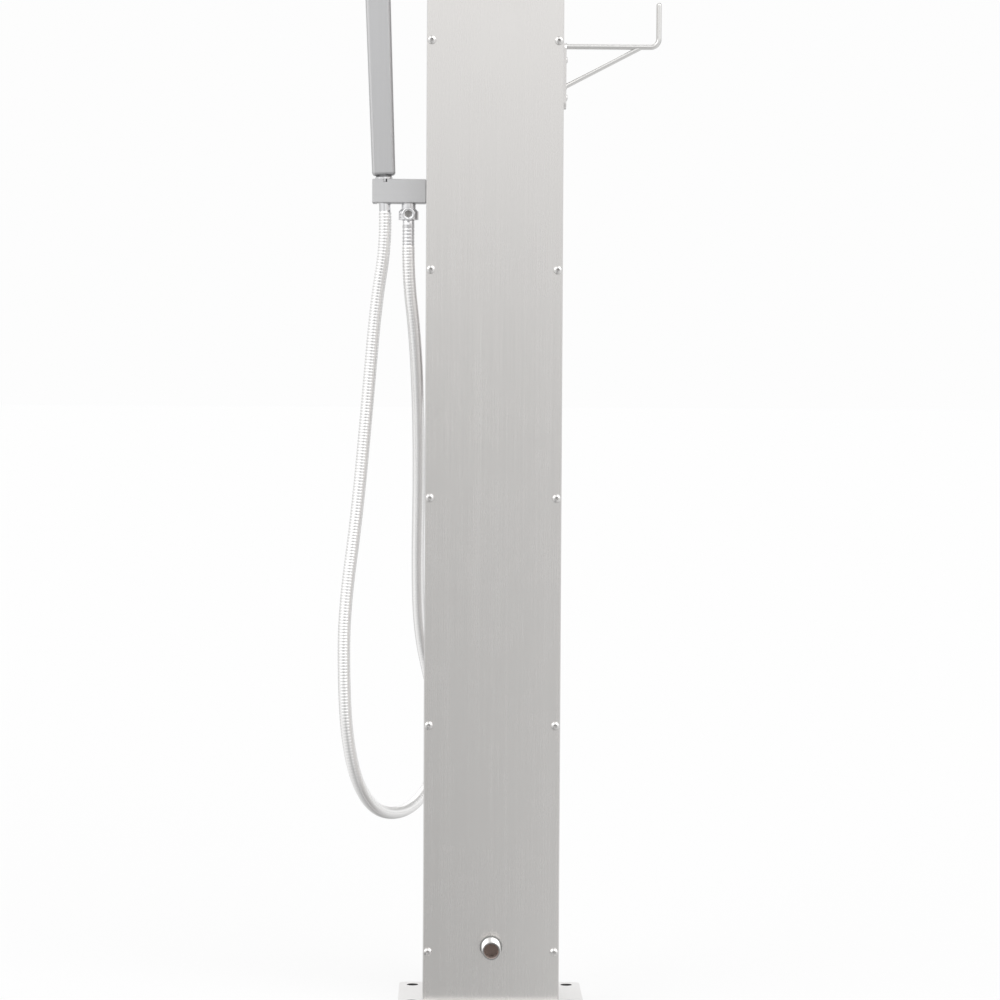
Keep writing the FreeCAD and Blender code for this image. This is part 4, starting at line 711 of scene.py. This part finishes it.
class Bench:
    """Modelling by hand with Blender's operators, one piece at a time."""

    @staticmethod
    def clear() -> None:
        """Leave edit mode and select nothing."""
        if bpy.context.object and bpy.context.object.mode != "OBJECT":
            bpy.ops.object.mode_set(mode="OBJECT")
        bpy.ops.object.select_all(action="DESELECT")

    @staticmethod
    def only(made: bpy.types.Object) -> None:
        """Select one object and make it the active one."""
        Bench.clear()
        made.select_set(True)
        bpy.context.view_layer.objects.active = made

    @staticmethod
    def edit(made: bpy.types.Object) -> None:
        """Open one object in edit mode with all of it selected."""
        Bench.only(made)
        bpy.ops.object.mode_set(mode="EDIT")
        bpy.ops.mesh.select_all(action="SELECT")

    @staticmethod
    def start(primitive: Callable[..., Any], name: str, **sizes: Any) -> bpy.types.Object:
        """Add a primitive with its place in its mesh.

        Args:
            primitive: the operator.
            name: the new object's name.
            sizes: the operator's own settings.

        Returns:
            The new object.
        """
        Bench.clear()
        primitive(**sizes)
        made = bpy.context.object
        made.name = made.data.name = name
        bpy.ops.object.transform_apply(location=True, rotation=True, scale=True)
        return made

    @staticmethod
    def drum(name: str, sides: int, radius: float, low: float, high: float) -> bpy.types.Object:
        """Add a cylinder that stands on the Z axis.

        Args:
            name: the new object's name.
            sides: the number of its sides.
            radius: its radius.
            low: the height of its lower end.
            high: the height of its upper end.

        Returns:
            The new object.
        """
        return Bench.start(bpy.ops.mesh.primitive_cylinder_add, name, vertices=sides, radius=radius,
                           depth=high - low, location=(0.0, 0.0, (low + high) / 2))

    @staticmethod
    def end(made: bpy.types.Object, way: int = 1) -> None:
        """In edit mode, select the faces that look along +Z, or along -Z where way is -1.

        Args:
            made: the object to edit.
            way: 1 or -1.
        """
        if made.mode != "EDIT":
            Bench.edit(made)
        bpy.ops.mesh.select_mode(type="FACE")
        bpy.ops.mesh.select_all(action="DESELECT")
        mesh = bmesh.from_edit_mesh(made.data)
        for face in mesh.faces:
            if face.normal.z * way > LEVEL:
                face.select = True
        mesh.select_flush(True)
        bmesh.update_edit_mesh(made.data)

    @staticmethod
    def extrude(way: Sequence[float], scale: float = 1.0) -> None:
        """Extrude the selected faces and scale their end about the Z axis.

        Args:
            way: how far they move.
            scale: the factor across Z.
        """
        bpy.ops.mesh.extrude_region_move(TRANSFORM_OT_translate={"value": tuple(way)})
        if scale != 1.0:
            bpy.ops.transform.resize(value=(scale, scale, 1.0), center_override=(0.0, 0.0, 0.0))

    @staticmethod
    def modify(made: bpy.types.Object, kind: str, **settings: Any) -> None:
        """Add a modifier and apply it.

        Args:
            made: the object.
            kind: the modifier's type.
            settings: its settings.
        """
        Bench.only(made)
        modifier = made.modifiers.new(kind.lower(), kind)
        for name, value in settings.items():
            setattr(modifier, name, value)
        bpy.ops.object.modifier_apply(modifier=modifier.name)

    @staticmethod
    def close(made: bpy.types.Object, angle: float = 35.0) -> bpy.types.Object:
        """Merge doubles, turn all faces outwards and shade smooth by angle.

        Args:
            made: the object.
            angle: the sharpest angle that is still smooth, in degrees.

        Returns:
            The same object.
        """
        Bench.edit(made)
        bpy.ops.mesh.remove_doubles(threshold=MERGED)
        bpy.ops.mesh.normals_make_consistent(inside=False)
        bpy.ops.object.mode_set(mode="OBJECT")
        bpy.ops.object.shade_smooth_by_angle(angle=math.radians(angle))
        return made

    @staticmethod
    def repeat(made: bpy.types.Object, places: Iterable[Matrix], name: str) -> bpy.types.Object:
        """Copy a finished shape to many places and join the copies.

        Args:
            made: the shape, at the origin; it is used up.
            places: where the copies go.
            name: the joined piece's name.

        Returns:
            The joined piece.
        """
        copies = []
        for place in places:
            copy = made.copy()
            copy.data = made.data.copy()
            bpy.context.scene.collection.objects.link(copy)
            copy.matrix_world = place
            copies.append(copy)
        bpy.data.objects.remove(made)
        return Bench.join(copies, name)

    @staticmethod
    def join(pieces: Sequence[bpy.types.Object], name: str) -> bpy.types.Object:
        """Join shapes, with their places in the joined mesh.

        Args:
            pieces: the shapes; they are used up.
            name: the joined piece's name.

        Returns:
            The joined piece.
        """
        Bench.only(pieces[0])
        for piece in pieces:
            piece.select_set(True)
        bpy.ops.object.transform_apply(location=True, rotation=True, scale=True)
        if len(pieces) > 1:
            bpy.ops.object.join()
        joined = bpy.context.object
        joined.name = joined.data.name = name
        return joined

    @staticmethod
    def key_socket(made: bpy.types.Object, radius: float, depth: float, top: float) -> None:
        """Cut a hexagon socket down into a shape.

        Args:
            made: the shape.
            radius: the hexagon's outer radius.
            depth: how deep it goes.
            top: the height that it starts from.
        """
        cutter = Bench.drum("socket", 6, radius, top - depth, top + depth)
        Bench.modify(made, "BOOLEAN", operation="DIFFERENCE", object=cutter, solver="EXACT")
        bpy.data.objects.remove(cutter)


def dress(frame: Mapping[str, Any], finish: Finish, *nodes: str) -> None:
    """Give CAD nodes a finish.

    Args:
        finish: the finish.
        nodes: the nodes' names.
    """
    for name in nodes:
        materials = frame["nodes"][name].data.materials
        materials.clear()
        materials.append(finish.material())


def soften(frame: Mapping[str, Any], nodes: Sequence[str]) -> None:
    """Give CAD nodes broken edges, with modifiers that leave their meshes alone.

    Args:
        nodes: the nodes' names.
    """
    for name in nodes:
        made = frame["nodes"][name]
        weld = made.modifiers.new("weld", "WELD")
        weld.merge_threshold = MERGED
        bevel = made.modifiers.new("edges", "BEVEL")
        bevel.width = SOFT_EDGE
        bevel.segments = 2
        bevel.limit_method = "ANGLE"
        bevel.angle_limit = math.radians(40.0)
        bevel.use_clamp_overlap = True
        bevel.harden_normals = True


class Box:
    """A plain CAD piece's box."""

    def __init__(self, corners: tuple[Sequence[float], Sequence[float]]) -> None:
        """Measure the box.

        Args:
            corners: its lowest and highest corners.
        """
        self.low, self.high = (Vector(corner) for corner in corners)
        self.middle = (self.low + self.high) / 2
        self.size = self.high - self.low

    def from_front(self) -> Matrix:
        """The place in the middle of the box's front whose +Z looks along +Y."""
        return backwards(self.middle.x, self.low.y, self.middle.z)


def backwards(x: float, y: float, z: float) -> Matrix:
    """A place whose +Z looks along +Y.

    Args:
        x: the place along X.
        y: the place along Y.
        z: the place along Z.

    Returns:
        The place.
    """
    return Matrix.Translation((x, y, z)) @ Matrix.Rotation(-math.pi / 2, 4, "X")


@dataclass
class Piece:
    """A new piece: its object, its finish and its slot."""

    made: bpy.types.Object
    finish: Finish
    slot: str

    def place_on(self, body: str, replaced: Sequence[str] = ()) -> bpy.types.Object:
        """Give the piece its material and its body.

        Args:
            body: the body that it rides on.
            replaced: the CAD nodes that it stands for.

        Returns:
            The piece's object.
        """
        if not self.made.data.materials:
            self.made.data.materials.append(self.finish.material())
        if body:
            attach(self.made, body)
        if replaced:
            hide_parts(*replaced)
        log.info("piece %s: %d faces", self.made.name, len(self.made.data.polygons))
        return self.made


# ---------------------------------------------------------------- the ribbed hose

@dataclass
class RibbedHose:
    """The metal hose from the stop valve's ferrule round to the cone nut's ferrule.

    The route is in millimetres, and so are upper_end and straight, which run along the socket's axis.
    """

    radius: float = 7.0 * MM
    pitch: float = 3.4 * MM
    segments: int = 20
    plain_end: float = 0.8 * MM
    length: float = 1.44
    profile: tuple[tuple[float, float], ...] = ((0.0, -0.24), (0.16, -0.11), (0.36, 0.0), (0.64, 0.0),
                                                (0.84, -0.11))
    start: Vector = field(default_factory=lambda: Vector((95.0, -25.0, 839.5)) * MM)
    route: tuple[tuple[float, float, float], ...] = (
        (95.0, -25.0, 804.5), (87.0, -35.0, 738.0), (83.0, -57.0, 650.0), (82.5, -77.0, 565.0),
        (84.0, -99.0, 482.0), (82.0, -120.0, 405.0), (70.0, -142.0, 345.0), (54.0, -160.0, 288.0),
        (62.0, -148.0, 232.0), (89.0, -113.0, 196.0), (124.0, -69.0, 196.0), (148.0, -35.0, 228.0),
        (161.0, -20.0, 284.0), (165.0, -18.0, 350.0), (165.0, -22.0, 432.0), (151.0, -29.0, 540.0),
        (140.0, -32.0, 665.0), (131.0, -31.0, 775.0))
    upper_end: float = -35.2
    straight: float = 35.0
    smoothness: int = 24
    neck: float = 0.6 * MM
    last_valley: float = 0.42 * MM
    smooth_angle: float = 60.0
    still: float = 300.0 * MM
    reached: list[float] = field(default_factory=list)

    def build(self, socket: "SocketAxis", ends: Sequence[bpy.types.Object]) -> None:
        """Sweep the ribs along the route, whose upper end lies on the socket's axis.

        Args:
            socket: the tilted axis of the holder's socket.
            ends: the ferrules at the hose's two ends; not used.
        """
        points = [self.start, *(Vector(point) * MM for point in self.route),
                  socket.point(self.upper_end - self.straight), socket.point(self.upper_end)]
        made = self._sweep(self._line(points))
        Piece(made, HOSE_METAL, "hose_steel").place_on("", ["shower_hose"])
        self._follow(made)

    def _follow(self, made: bpy.types.Object) -> None:
        """Lay the hose's points out straight by the length along it, then put them back where they were.

        Args:
            made: the finished hose; it ends as it was.
        """
        places = [vertex.co.copy() for vertex in made.data.vertices]
        for vertex, distance in zip(made.data.vertices, self.reached):
            vertex.co = (distance, 0.0, 0.0)
        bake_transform(made)
        for vertex, place in zip(made.data.vertices, places):
            vertex.co = place
        made.data.update()

    def _line(self, points: Sequence[Vector]) -> list[Vector]:
        """Points close together along the smooth line through the route.

        Args:
            points: the route's control points.

        Returns:
            The points.
        """
        curve = bpy.data.curves.new("hose_route", "CURVE")
        curve.dimensions = "3D"
        curve.resolution_u = self.smoothness
        spline = curve.splines.new("NURBS")
        spline.points.add(len(points) - 1)
        for control, point in zip(spline.points, points):
            control.co = (*point, 1.0)
        spline.order_u = 3
        spline.use_endpoint_u = True
        holder = bpy.data.objects.new("hose_route", curve)
        bpy.context.scene.collection.objects.link(holder)
        bpy.context.view_layer.update()
        mesh = bpy.data.meshes.new_from_object(holder)
        line = [vertex.co.copy() for vertex in mesh.vertices]
        bpy.data.objects.remove(holder)
        return line

    def _sweep(self, line: Sequence[Vector]) -> bpy.types.Object:
        """Rings of the rib profile along the line, closed at both ends.

        Args:
            line: points along the hose's centre.

        Returns:
            The mesh object.
        """
        walk = Walk(line)
        rings: list[tuple[float, float]] = [(0.0, self.radius - self.neck)]
        count = int((walk.length - 2 * self.plain_end) / self.pitch)
        pitch = (walk.length - 2 * self.plain_end) / count
        for rib in range(count):
            begin = self.plain_end + rib * pitch
            rings += [(begin + share * pitch, self.radius + drop * MM) for share, drop in self.profile]
        rings += [(walk.length - self.plain_end, self.radius - self.last_valley),
                  (walk.length, self.radius - self.neck)]
        self.reached = [distance for distance, _ in rings for _ in range(self.segments)]
        mesh = bmesh.new()
        loops = []
        for distance, radius in rings:
            point, across, along = walk.frame(distance)
            angles = [2 * math.pi * step / self.segments for step in range(self.segments)]
            loops.append([mesh.verts.new(point + across * math.cos(angle) * radius
                                         + along * math.sin(angle) * radius) for angle in angles])
        for first, second in zip(loops, loops[1:]):
            for here in range(self.segments):
                there = (here + 1) % self.segments
                mesh.faces.new((first[here], first[there], second[there], second[here]))
        mesh.faces.new(reversed(loops[0]))
        mesh.faces.new(loops[-1])
        bmesh.ops.recalc_face_normals(mesh, faces=mesh.faces)
        data = bpy.data.meshes.new("hose_ribbed")
        mesh.to_mesh(data)
        mesh.free()
        made = bpy.data.objects.new("hose_ribbed", data)
        bpy.context.scene.collection.objects.link(made)
        Bench.only(made)
        bpy.ops.object.shade_smooth_by_angle(angle=math.radians(self.smooth_angle))
        return made


class Walk:
    """Places along a line of points, each with a steady pair of directions across it."""

    def __init__(self, line: Sequence[Vector]) -> None:
        """Measure the line and carry the directions along it.

        Args:
            line: points close together.
        """
        self.line = list(line)
        self.reached = [0.0]
        for first, second in zip(self.line, self.line[1:]):
            self.reached.append(self.reached[-1] + (second - first).length)
        self.length = self.reached[-1]
        ways = [(self.line[min(i + 1, len(self.line) - 1)] - self.line[max(i - 1, 0)]).normalized()
                for i in range(len(self.line))]
        across = Vector((1.0, 0.0, 0.0))
        self.frames = []
        for way in ways:
            across = (across - way * across.dot(way)).normalized()
            self.frames.append((across.copy(), way.cross(across)))

    def frame(self, distance: float) -> tuple[Vector, Vector, Vector]:
        """The point at a distance, and two directions square to the line there.

        Args:
            distance: how far along the line.

        Returns:
            The point and the two directions.
        """
        index = 0
        while index < len(self.line) - 2 and self.reached[index + 1] < distance:
            index += 1
        span = self.reached[index + 1] - self.reached[index]
        share = (distance - self.reached[index]) / span if span else 0.0
        point = self.line[index].lerp(self.line[index + 1], share)
        across = self.frames[index][0].lerp(self.frames[index + 1][0], share).normalized()
        along = self.frames[index][1].lerp(self.frames[index + 1][1], share).normalized()
        return point, across, along


@dataclass
class SocketAxis:
    """The tilted axis of the holder's socket, measured up from the block's top."""

    top: Vector = field(default_factory=lambda: Vector((122.5, -25.0, 912.6)) * MM)
    tilt: float = math.radians(2.1)

    def point(self, height: float) -> Vector:
        """A point on the axis.

        Args:
            height: millimetres above the block's top, along the axis.

        Returns:
            The point in the frame, in metres.
        """
        return self.top + Vector((math.sin(self.tilt), 0.0, math.cos(self.tilt))) * height * MM


# ---------------------------------------------------------------- screws, fittings, nozzles, welds

def paint(made: bpy.types.Object, outer: Finish, inner: Finish, test: Callable[[Vector], bool]) -> None:
    """Give a shape one finish, and the faces that pass a test another.

    Args:
        made: the object.
        outer: the finish of most faces.
        inner: the finish of the faces that pass.
        test: takes a face's centre.
    """
    made.data.materials.append(outer.material())
    made.data.materials.append(inner.material())
    for face in made.data.polygons:
        face.material_index = int(test(face.center))


@dataclass
class ButtonScrew:
    """A domed screw head with a hexagon socket, and its shank."""

    head_radius: float = 4.75 * MM
    head_height: float = 2.75 * MM
    rim: float = 0.5 * MM
    flat_share: float = 0.42
    socket_radius: float = 1.85 * MM
    socket_depth: float = 1.7 * MM
    shank_radius: float = 2.4 * MM
    shank_length: float = 9.0 * MM
    rings: int = 5
    sides: int = 32

    def shape(self) -> bpy.types.Object:
        """One screw, with its seat at the origin and its head towards +Z.

        Returns:
            The screw.
        """
        made = Bench.drum("screw", self.sides, self.head_radius, 0.0, self.rim)
        end = math.acos(self.flat_share)
        angles = [end * ring / self.rings for ring in range(self.rings + 1)]
        heights = [(self.head_height - self.rim) * math.sin(angle) / math.sin(end) for angle in angles]
        Bench.end(made)
        for ring in range(self.rings):
            Bench.extrude((0.0, 0.0, heights[ring + 1] - heights[ring]),
                          math.cos(angles[ring + 1]) / math.cos(angles[ring]))
        Bench.end(made, -1)
        bpy.ops.mesh.inset(thickness=self.head_radius - self.shank_radius)
        Bench.extrude((0.0, 0.0, -self.shank_length))
        Bench.key_socket(made, self.socket_radius, self.socket_depth, self.head_height)
        Bench.close(made)
        floor = self.head_height - self.socket_depth * PAST
        paint(made, FASTENER, SOCKET_SHADE,
              lambda centre: centre.xy.length < self.socket_radius * WITHIN and centre.z >= floor)
        return made

    def build(self, name: str, places: Sequence[Matrix], *replaced: str) -> None:
        """Put a screw at each place.

        Args:
            name: the piece's name.
            places: each screw's seat and turn.
            replaced: the CAD nodes that they stand for.
        """
        made = Bench.repeat(self.shape(), places, name)
        Piece(made, FASTENER, "screw_steel").place_on("post", replaced)


@dataclass
class CoverScrews:
    """The rear cover's two rows of screws, in millimetres."""

    side: float = 69.5
    seat: float = 50.0
    first: float = 60.0
    pitch: float = 250.0
    rows: int = 9

    def build(self) -> None:
        """Put a screw at each seat of both rows."""
        seats = [backwards(way * self.side * MM, self.seat * MM, (self.first + self.pitch * row) * MM)
                 for way in (-1, 1) for row in range(self.rows)]
        ButtonScrew().build("cover_screws", seats, "rear_cover_screws")


@dataclass
class HookHeads:
    """The two small screws of the hook's plate, in millimetres."""

    seat: float = -79.0
    heights: tuple[float, ...] = (1044.0, 1002.5)
    screw: ButtonScrew = field(default_factory=lambda: ButtonScrew(
        head_radius=3.7 * MM, head_height=1.7 * MM, rim=0.4 * MM, socket_radius=1.4 * MM,
        socket_depth=1.1 * MM, shank_radius=1.9 * MM, shank_length=3.0 * MM))

    def build(self) -> None:
        """Put a screw at each seat."""
        turn = Matrix.Rotation(-math.pi / 2, 4, "Y")
        seats = [Matrix.Translation((self.seat * MM, 0.0, height * MM)) @ turn for height in self.heights]
        self.screw.build("hook_heads", seats)


@dataclass
class InletThread:
    """The pipe thread low on the back: a bored barrel with a helical thread.

    The thread stops short of the barrel's inner end, and plain_share is that stretch in lead-ins.
    """

    pitch: float = 1.814 * MM
    crest: float = 10.475 * MM
    root: float = 9.5 * MM
    bore: float = 8.25 * MM
    bore_depth: float = 22.0 * MM
    lead_in: float = 2.4 * MM
    ridge_share: float = 0.36
    plain_share: float = 3.0
    steps: int = 40
    sides: int = 56

    def build(self, box: Box) -> None:
        """Model the thread in the place of the plain nipple.

        Args:
            box: the plain nipple's box.
        """
        length = box.size.y
        core = Bench.drum("inlet_thread", self.sides, self.root, 0.0, length)
        Bench.end(core)
        bpy.ops.mesh.inset(thickness=self.root - self.bore)
        Bench.extrude((0.0, 0.0, -self.bore_depth))
        Bench.close(core)
        floor = length - self.bore_depth * PAST
        # Painted shade: the barrel between the thread's turns gets a dark tone, and the bore gets painted
        # shade.
        paint(core, THREAD_ROOT_SHADE, BORE_SHADE,
              lambda centre: centre.xy.length < self.bore * ROUND and centre.z > floor)
        ridge = self._ridge(length)
        ridge.data.materials.append(FASTENER.material())
        made = Bench.repeat(Bench.join([core, ridge], "inlet_thread"), [box.from_front()], "inlet_thread")
        Piece(made, CHROME, "polished_chrome").place_on("post", ["inlet_nipple"])

    def _ridge(self, length: float) -> bpy.types.Object:
        """The thread's ridge, wound round the barrel's outer part.

        Args:
            length: the barrel's length.

        Returns:
            The ridge.
        """
        height = self.crest - self.root
        turns = int((length - self.lead_in * self.plain_share) / self.pitch)
        start = (self.root, 0.0, length - self.lead_in - turns * self.pitch)
        ridge = Bench.start(bpy.ops.mesh.primitive_circle_add, "thread_ridge", vertices=4, radius=height,
                            fill_type="NOTHING", rotation=(math.pi / 2, 0.0, 0.0), location=start)
        Bench.edit(ridge)
        bpy.ops.transform.resize(value=(1.0, 1.0, self.pitch * self.ridge_share / height),
                                 center_override=start)
        bpy.ops.object.mode_set(mode="OBJECT")
        Bench.modify(ridge, "SCREW", angle=2 * math.pi, screw_offset=self.pitch, iterations=turns,
                     steps=self.steps, render_steps=self.steps, use_merge_vertices=False)
        Bench.edit(ridge)
        bpy.ops.mesh.fill_holes(sides=4)
        bpy.ops.object.mode_set(mode="OBJECT")
        return Bench.close(ridge)


@dataclass
class StopPlug:
    """The stop valve's plug: a turned end with a hexagon socket."""

    socket_radius: float = 4.35 * MM
    socket_depth: float = 4.6 * MM
    edge: float = 0.4 * MM
    sides: int = 48

    def build(self, box: Box) -> None:
        """Model the plug in the place of the plain one.

        Args:
            box: the plain plug's box.
        """
        length = box.size.y
        made = Bench.drum("stop_plug_end", self.sides, box.size.x / 2, 0.0, length)
        Bench.end(made)
        bpy.ops.mesh.inset(thickness=self.edge)
        bpy.ops.transform.translate(value=(0.0, 0.0, -self.edge / 2))
        Bench.key_socket(made, self.socket_radius, self.socket_depth, length)
        Bench.close(made)
        floor = length - self.socket_depth * PAST
        paint(made, CHROME, SOCKET_SHADE, lambda centre: centre.xy.length < self.socket_radius
              and floor <= centre.z < length - self.edge)
        made = Bench.repeat(made, [box.from_front()], "stop_plug_end")
        Piece(made, CHROME, "brass").place_on("stop_plug", ["outlet_valve_stem"])


@dataclass
class HoseSleeve:
    """The hose's lower end: a smooth collar, then crimped rings like the hose's ribs."""

    collar: float = 9.0 * MM
    radius: float = 6.75 * MM
    groove: float = 0.93
    pitch: float = 3.4 * MM
    slope: float = 0.15
    chamfer: float = 0.5 * MM
    sides: int = 40

    def build(self, box: Box) -> bpy.types.Object:
        """Model the sleeve in the place of the plain ferrule.

        Args:
            box: the plain ferrule's box.

        Returns:
            The sleeve.
        """
        made = Bench.drum("hose_sleeve", self.sides, self.radius, -self.collar, 0.0)
        Bench.end(made, -1)
        rings = int((box.size.z - self.collar) / self.pitch)
        pitch = (box.size.z - self.collar) / rings
        for _ in range(rings):
            Bench.extrude((0.0, 0.0, -self.slope * pitch), self.groove)
            Bench.extrude((0.0, 0.0, -self.slope * pitch), 1.0 / self.groove)
            Bench.extrude((0.0, 0.0, -(1.0 - 2.0 * self.slope) * pitch))
        Bench.modify(made, "BEVEL", width=self.chamfer, segments=2, limit_method="ANGLE",
                     angle_limit=math.radians(20.0))
        Bench.close(made, 50.0)
        top = Matrix.Translation((box.middle.x, box.middle.y, box.high.z))
        made = Bench.repeat(made, [top], "hose_sleeve")
        return Piece(made, CHROME, "polished_chrome").place_on("post", ["hose_lower_ferrule"])


@dataclass
class RubberNozzle:
    """A soft spray nozzle: a stepped cone with a hole."""

    radius: float = 2.2 * MM
    reach: float = 2.0 * MM
    foot: float = 0.3
    steps: tuple[tuple[float, float], ...] = ((0.6, 0.72), (0.1, 0.84))
    lip: float = 0.25
    hole: float = 0.5
    sides: int = 10

    def shape(self) -> bpy.types.Object:
        """One nozzle, seated at the origin and pointing along +Z.

        Returns:
            The nozzle.
        """
        made = Bench.drum("nozzle", self.sides, self.radius, 0.0, self.reach * self.foot)
        Bench.end(made)
        for rise, taper in self.steps:
            Bench.extrude((0.0, 0.0, self.reach * rise), taper)
        bpy.ops.mesh.inset(thickness=self.radius * self.lip)
        Bench.extrude((0.0, 0.0, -self.reach * self.hole))
        return Bench.close(made)


@dataclass
class HeadSpray:
    """The overhead shower's nozzles, placed by the plain ones' box."""

    count: int = 8
    nozzle: RubberNozzle = field(default_factory=RubberNozzle)

    def build(self, box: Box) -> None:
        """Nozzles in rows under the overhead shower.

        Args:
            box: the plain nozzles' box.
        """
        radius = self.nozzle.radius
        pitch = (box.size.x - 2 * radius) / (self.count - 1)
        places = [Matrix.Translation((box.low.x + radius + column * pitch, box.low.y + radius + row * pitch,
                                      box.low.z + self.nozzle.reach)) @ Matrix.Rotation(math.pi, 4, "X")
                  for row in range(self.count) for column in range(self.count)]
        made = Bench.repeat(self.nozzle.shape(), places, "head_spray")
        Piece(made, RUBBER, "black_rubber").place_on("overhead_shower", ["head_nozzles"])


@dataclass
class HookWelds:
    """Small welds where the hook's rods meet the plate."""

    bead: float = 1.1 * MM
    squash: float = 0.7
    plate_x: float = -79.0 * MM
    arm: tuple[float, float] = (1059.0 * MM, 3.0 * MM)
    brace: tuple[float, float] = (1015.1 * MM, 2.5 * MM)
    slope: float = math.atan2(46.0, 88.0)

    def build(self) -> None:
        """A ring of weld round each rod's root."""
        rings = []
        for (height, radius), stretch in ((self.arm, 1.0), (self.brace, 1.0 / math.cos(self.slope))):
            ring = Bench.start(bpy.ops.mesh.primitive_torus_add, "weld", major_radius=radius,
                               minor_radius=self.bead, major_segments=40, minor_segments=10)
            place = (Matrix.Translation((self.plate_x, 0.0, height)) @ Matrix.Rotation(math.pi / 2, 4, "Y")
                     @ Matrix.Diagonal((stretch, 1.0, self.squash, 1.0)))
            rings.append(Bench.repeat(ring, [place], "weld"))
        made = Bench.close(Bench.join(rings, "hook_welds"))
        Piece(made, ROD, "brushed_stainless").place_on("post")


@dataclass
class LeverCap:
    """The small raised cap that closes the front of the main lever's hub."""

    radius: float = 5.2 * MM
    height: float = 0.9 * MM
    rim: float = 0.3
    dish: float = 0.3
    edge: float = 0.35 * MM
    seat: tuple[float, float, float] = (0.0, -83.9 * MM, 1010.0 * MM)
    sides: int = 40

    def build(self) -> None:
        """A disc with a dished middle and a broken edge."""
        made = Bench.drum("lever_cap", self.sides, self.radius, 0.0, self.height)
        Bench.end(made)
        bpy.ops.mesh.inset(thickness=self.radius * self.rim)
        bpy.ops.transform.translate(value=(0.0, 0.0, -self.dish * self.height))
        Bench.modify(made, "BEVEL", width=self.edge, segments=3, limit_method="ANGLE",
                     angle_limit=math.radians(40.0))
        Bench.close(made)
        place = Matrix.Translation(self.seat) @ Matrix.Rotation(math.pi / 2, 4, "X")
        made = Bench.repeat(made, [place], "lever_cap")
        Piece(made, FASTENER, "brushed_stainless").place_on("lever")


# ---------------------------------------------------------------- dressing the frame

FINISHES: tuple[tuple[Finish, tuple[str, ...]], ...] = (
    (PANEL, ("rear_cover",)),
    (SHEET, ("column_shell",)),
    (CAP, ("top_cap",)),
    (PLATE, ("base_plate",)),
    (FASTENER, ("rear_cover_screws", "hook_fixings", "elbow_fixings", "main_lever_screw",
                "diverter_knob_screw", "main_valve_stem", "diverter_stem")),
    (CHROME, ("inlet_nipple", "outlet_valve_body", "hose_lower_ferrule", "hose_upper_ferrule",
              "hose_cone_nut")),
    (GREY_NYLON, ("inlet_grommet", "holder_gasket")),
    (RUBBER, ("head_nozzles", "hose_washer", "hand_shower_nozzles")),
    (CERAMIC_CASE, ("pipe_clips", "main_valve_cartridge", "diverter_cartridge")),
    (SPIGOT, ("hand_shower_spigot",)),
    (PIPE, ("supply_pipe", "link_pipe", "riser_pipe", "hand_branch_pipe")),
    (BRASS, ("inlet_elbow", "compression_nuts", "main_valve_body", "main_valve_locknut",
             "diverter_body", "diverter_locknut", "top_elbow",
             "ball_retainer", "holder_stud", "holder_locknut", "branch_elbow", "outlet_valve_stem")),
    (SHEET, ("main_valve_plate", "diverter_plate", "arm_flange", "hook_plate")),
    (CONTROL, ("main_lever", "diverter_knob")),
    (TURNED, ("head_collar", "head_cup", "head_ball", "arm_outlet")),
    (ARM, ("shower_arm",)),
    (HEAD, ("shower_head", "spray_plate")),
    (SATIN, ("hand_shower_body", "hand_shower_face")),
    (SATIN_ACROSS, ("holder_block",)),
    (ROD, ("hook_arm", "hook_brace")),
)


def main() -> None:
    """Load the frame, dress it, add the pieces, the studio and the camera."""
    logging.basicConfig(level=logging.INFO, format="%(name)s: %(message)s")
    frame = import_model()
    Bench.clear()
    PhotoCamera().build()
    sleeve = HoseSleeve().build(Box(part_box("hose_lower_ferrule")))
    RibbedHose().build(SocketAxis(), [sleeve, frame["nodes"]["hose_upper_ferrule"]])
    for finish, nodes in FINISHES:
        dress(frame, finish, *nodes)
    CoverScrews().build()
    InletThread().build(Box(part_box("inlet_nipple")))
    StopPlug().build(Box(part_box("outlet_valve_stem")))
    HeadSpray().build(Box(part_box("head_nozzles")))
    HookWelds().build()
    HookHeads().build()
    LeverCap().build()
    soften(frame, SOFTENED)
    Studio().build()
    bpy.context.scene.view_settings.view_transform = "Standard"


if __name__ == "__main__":
    main()
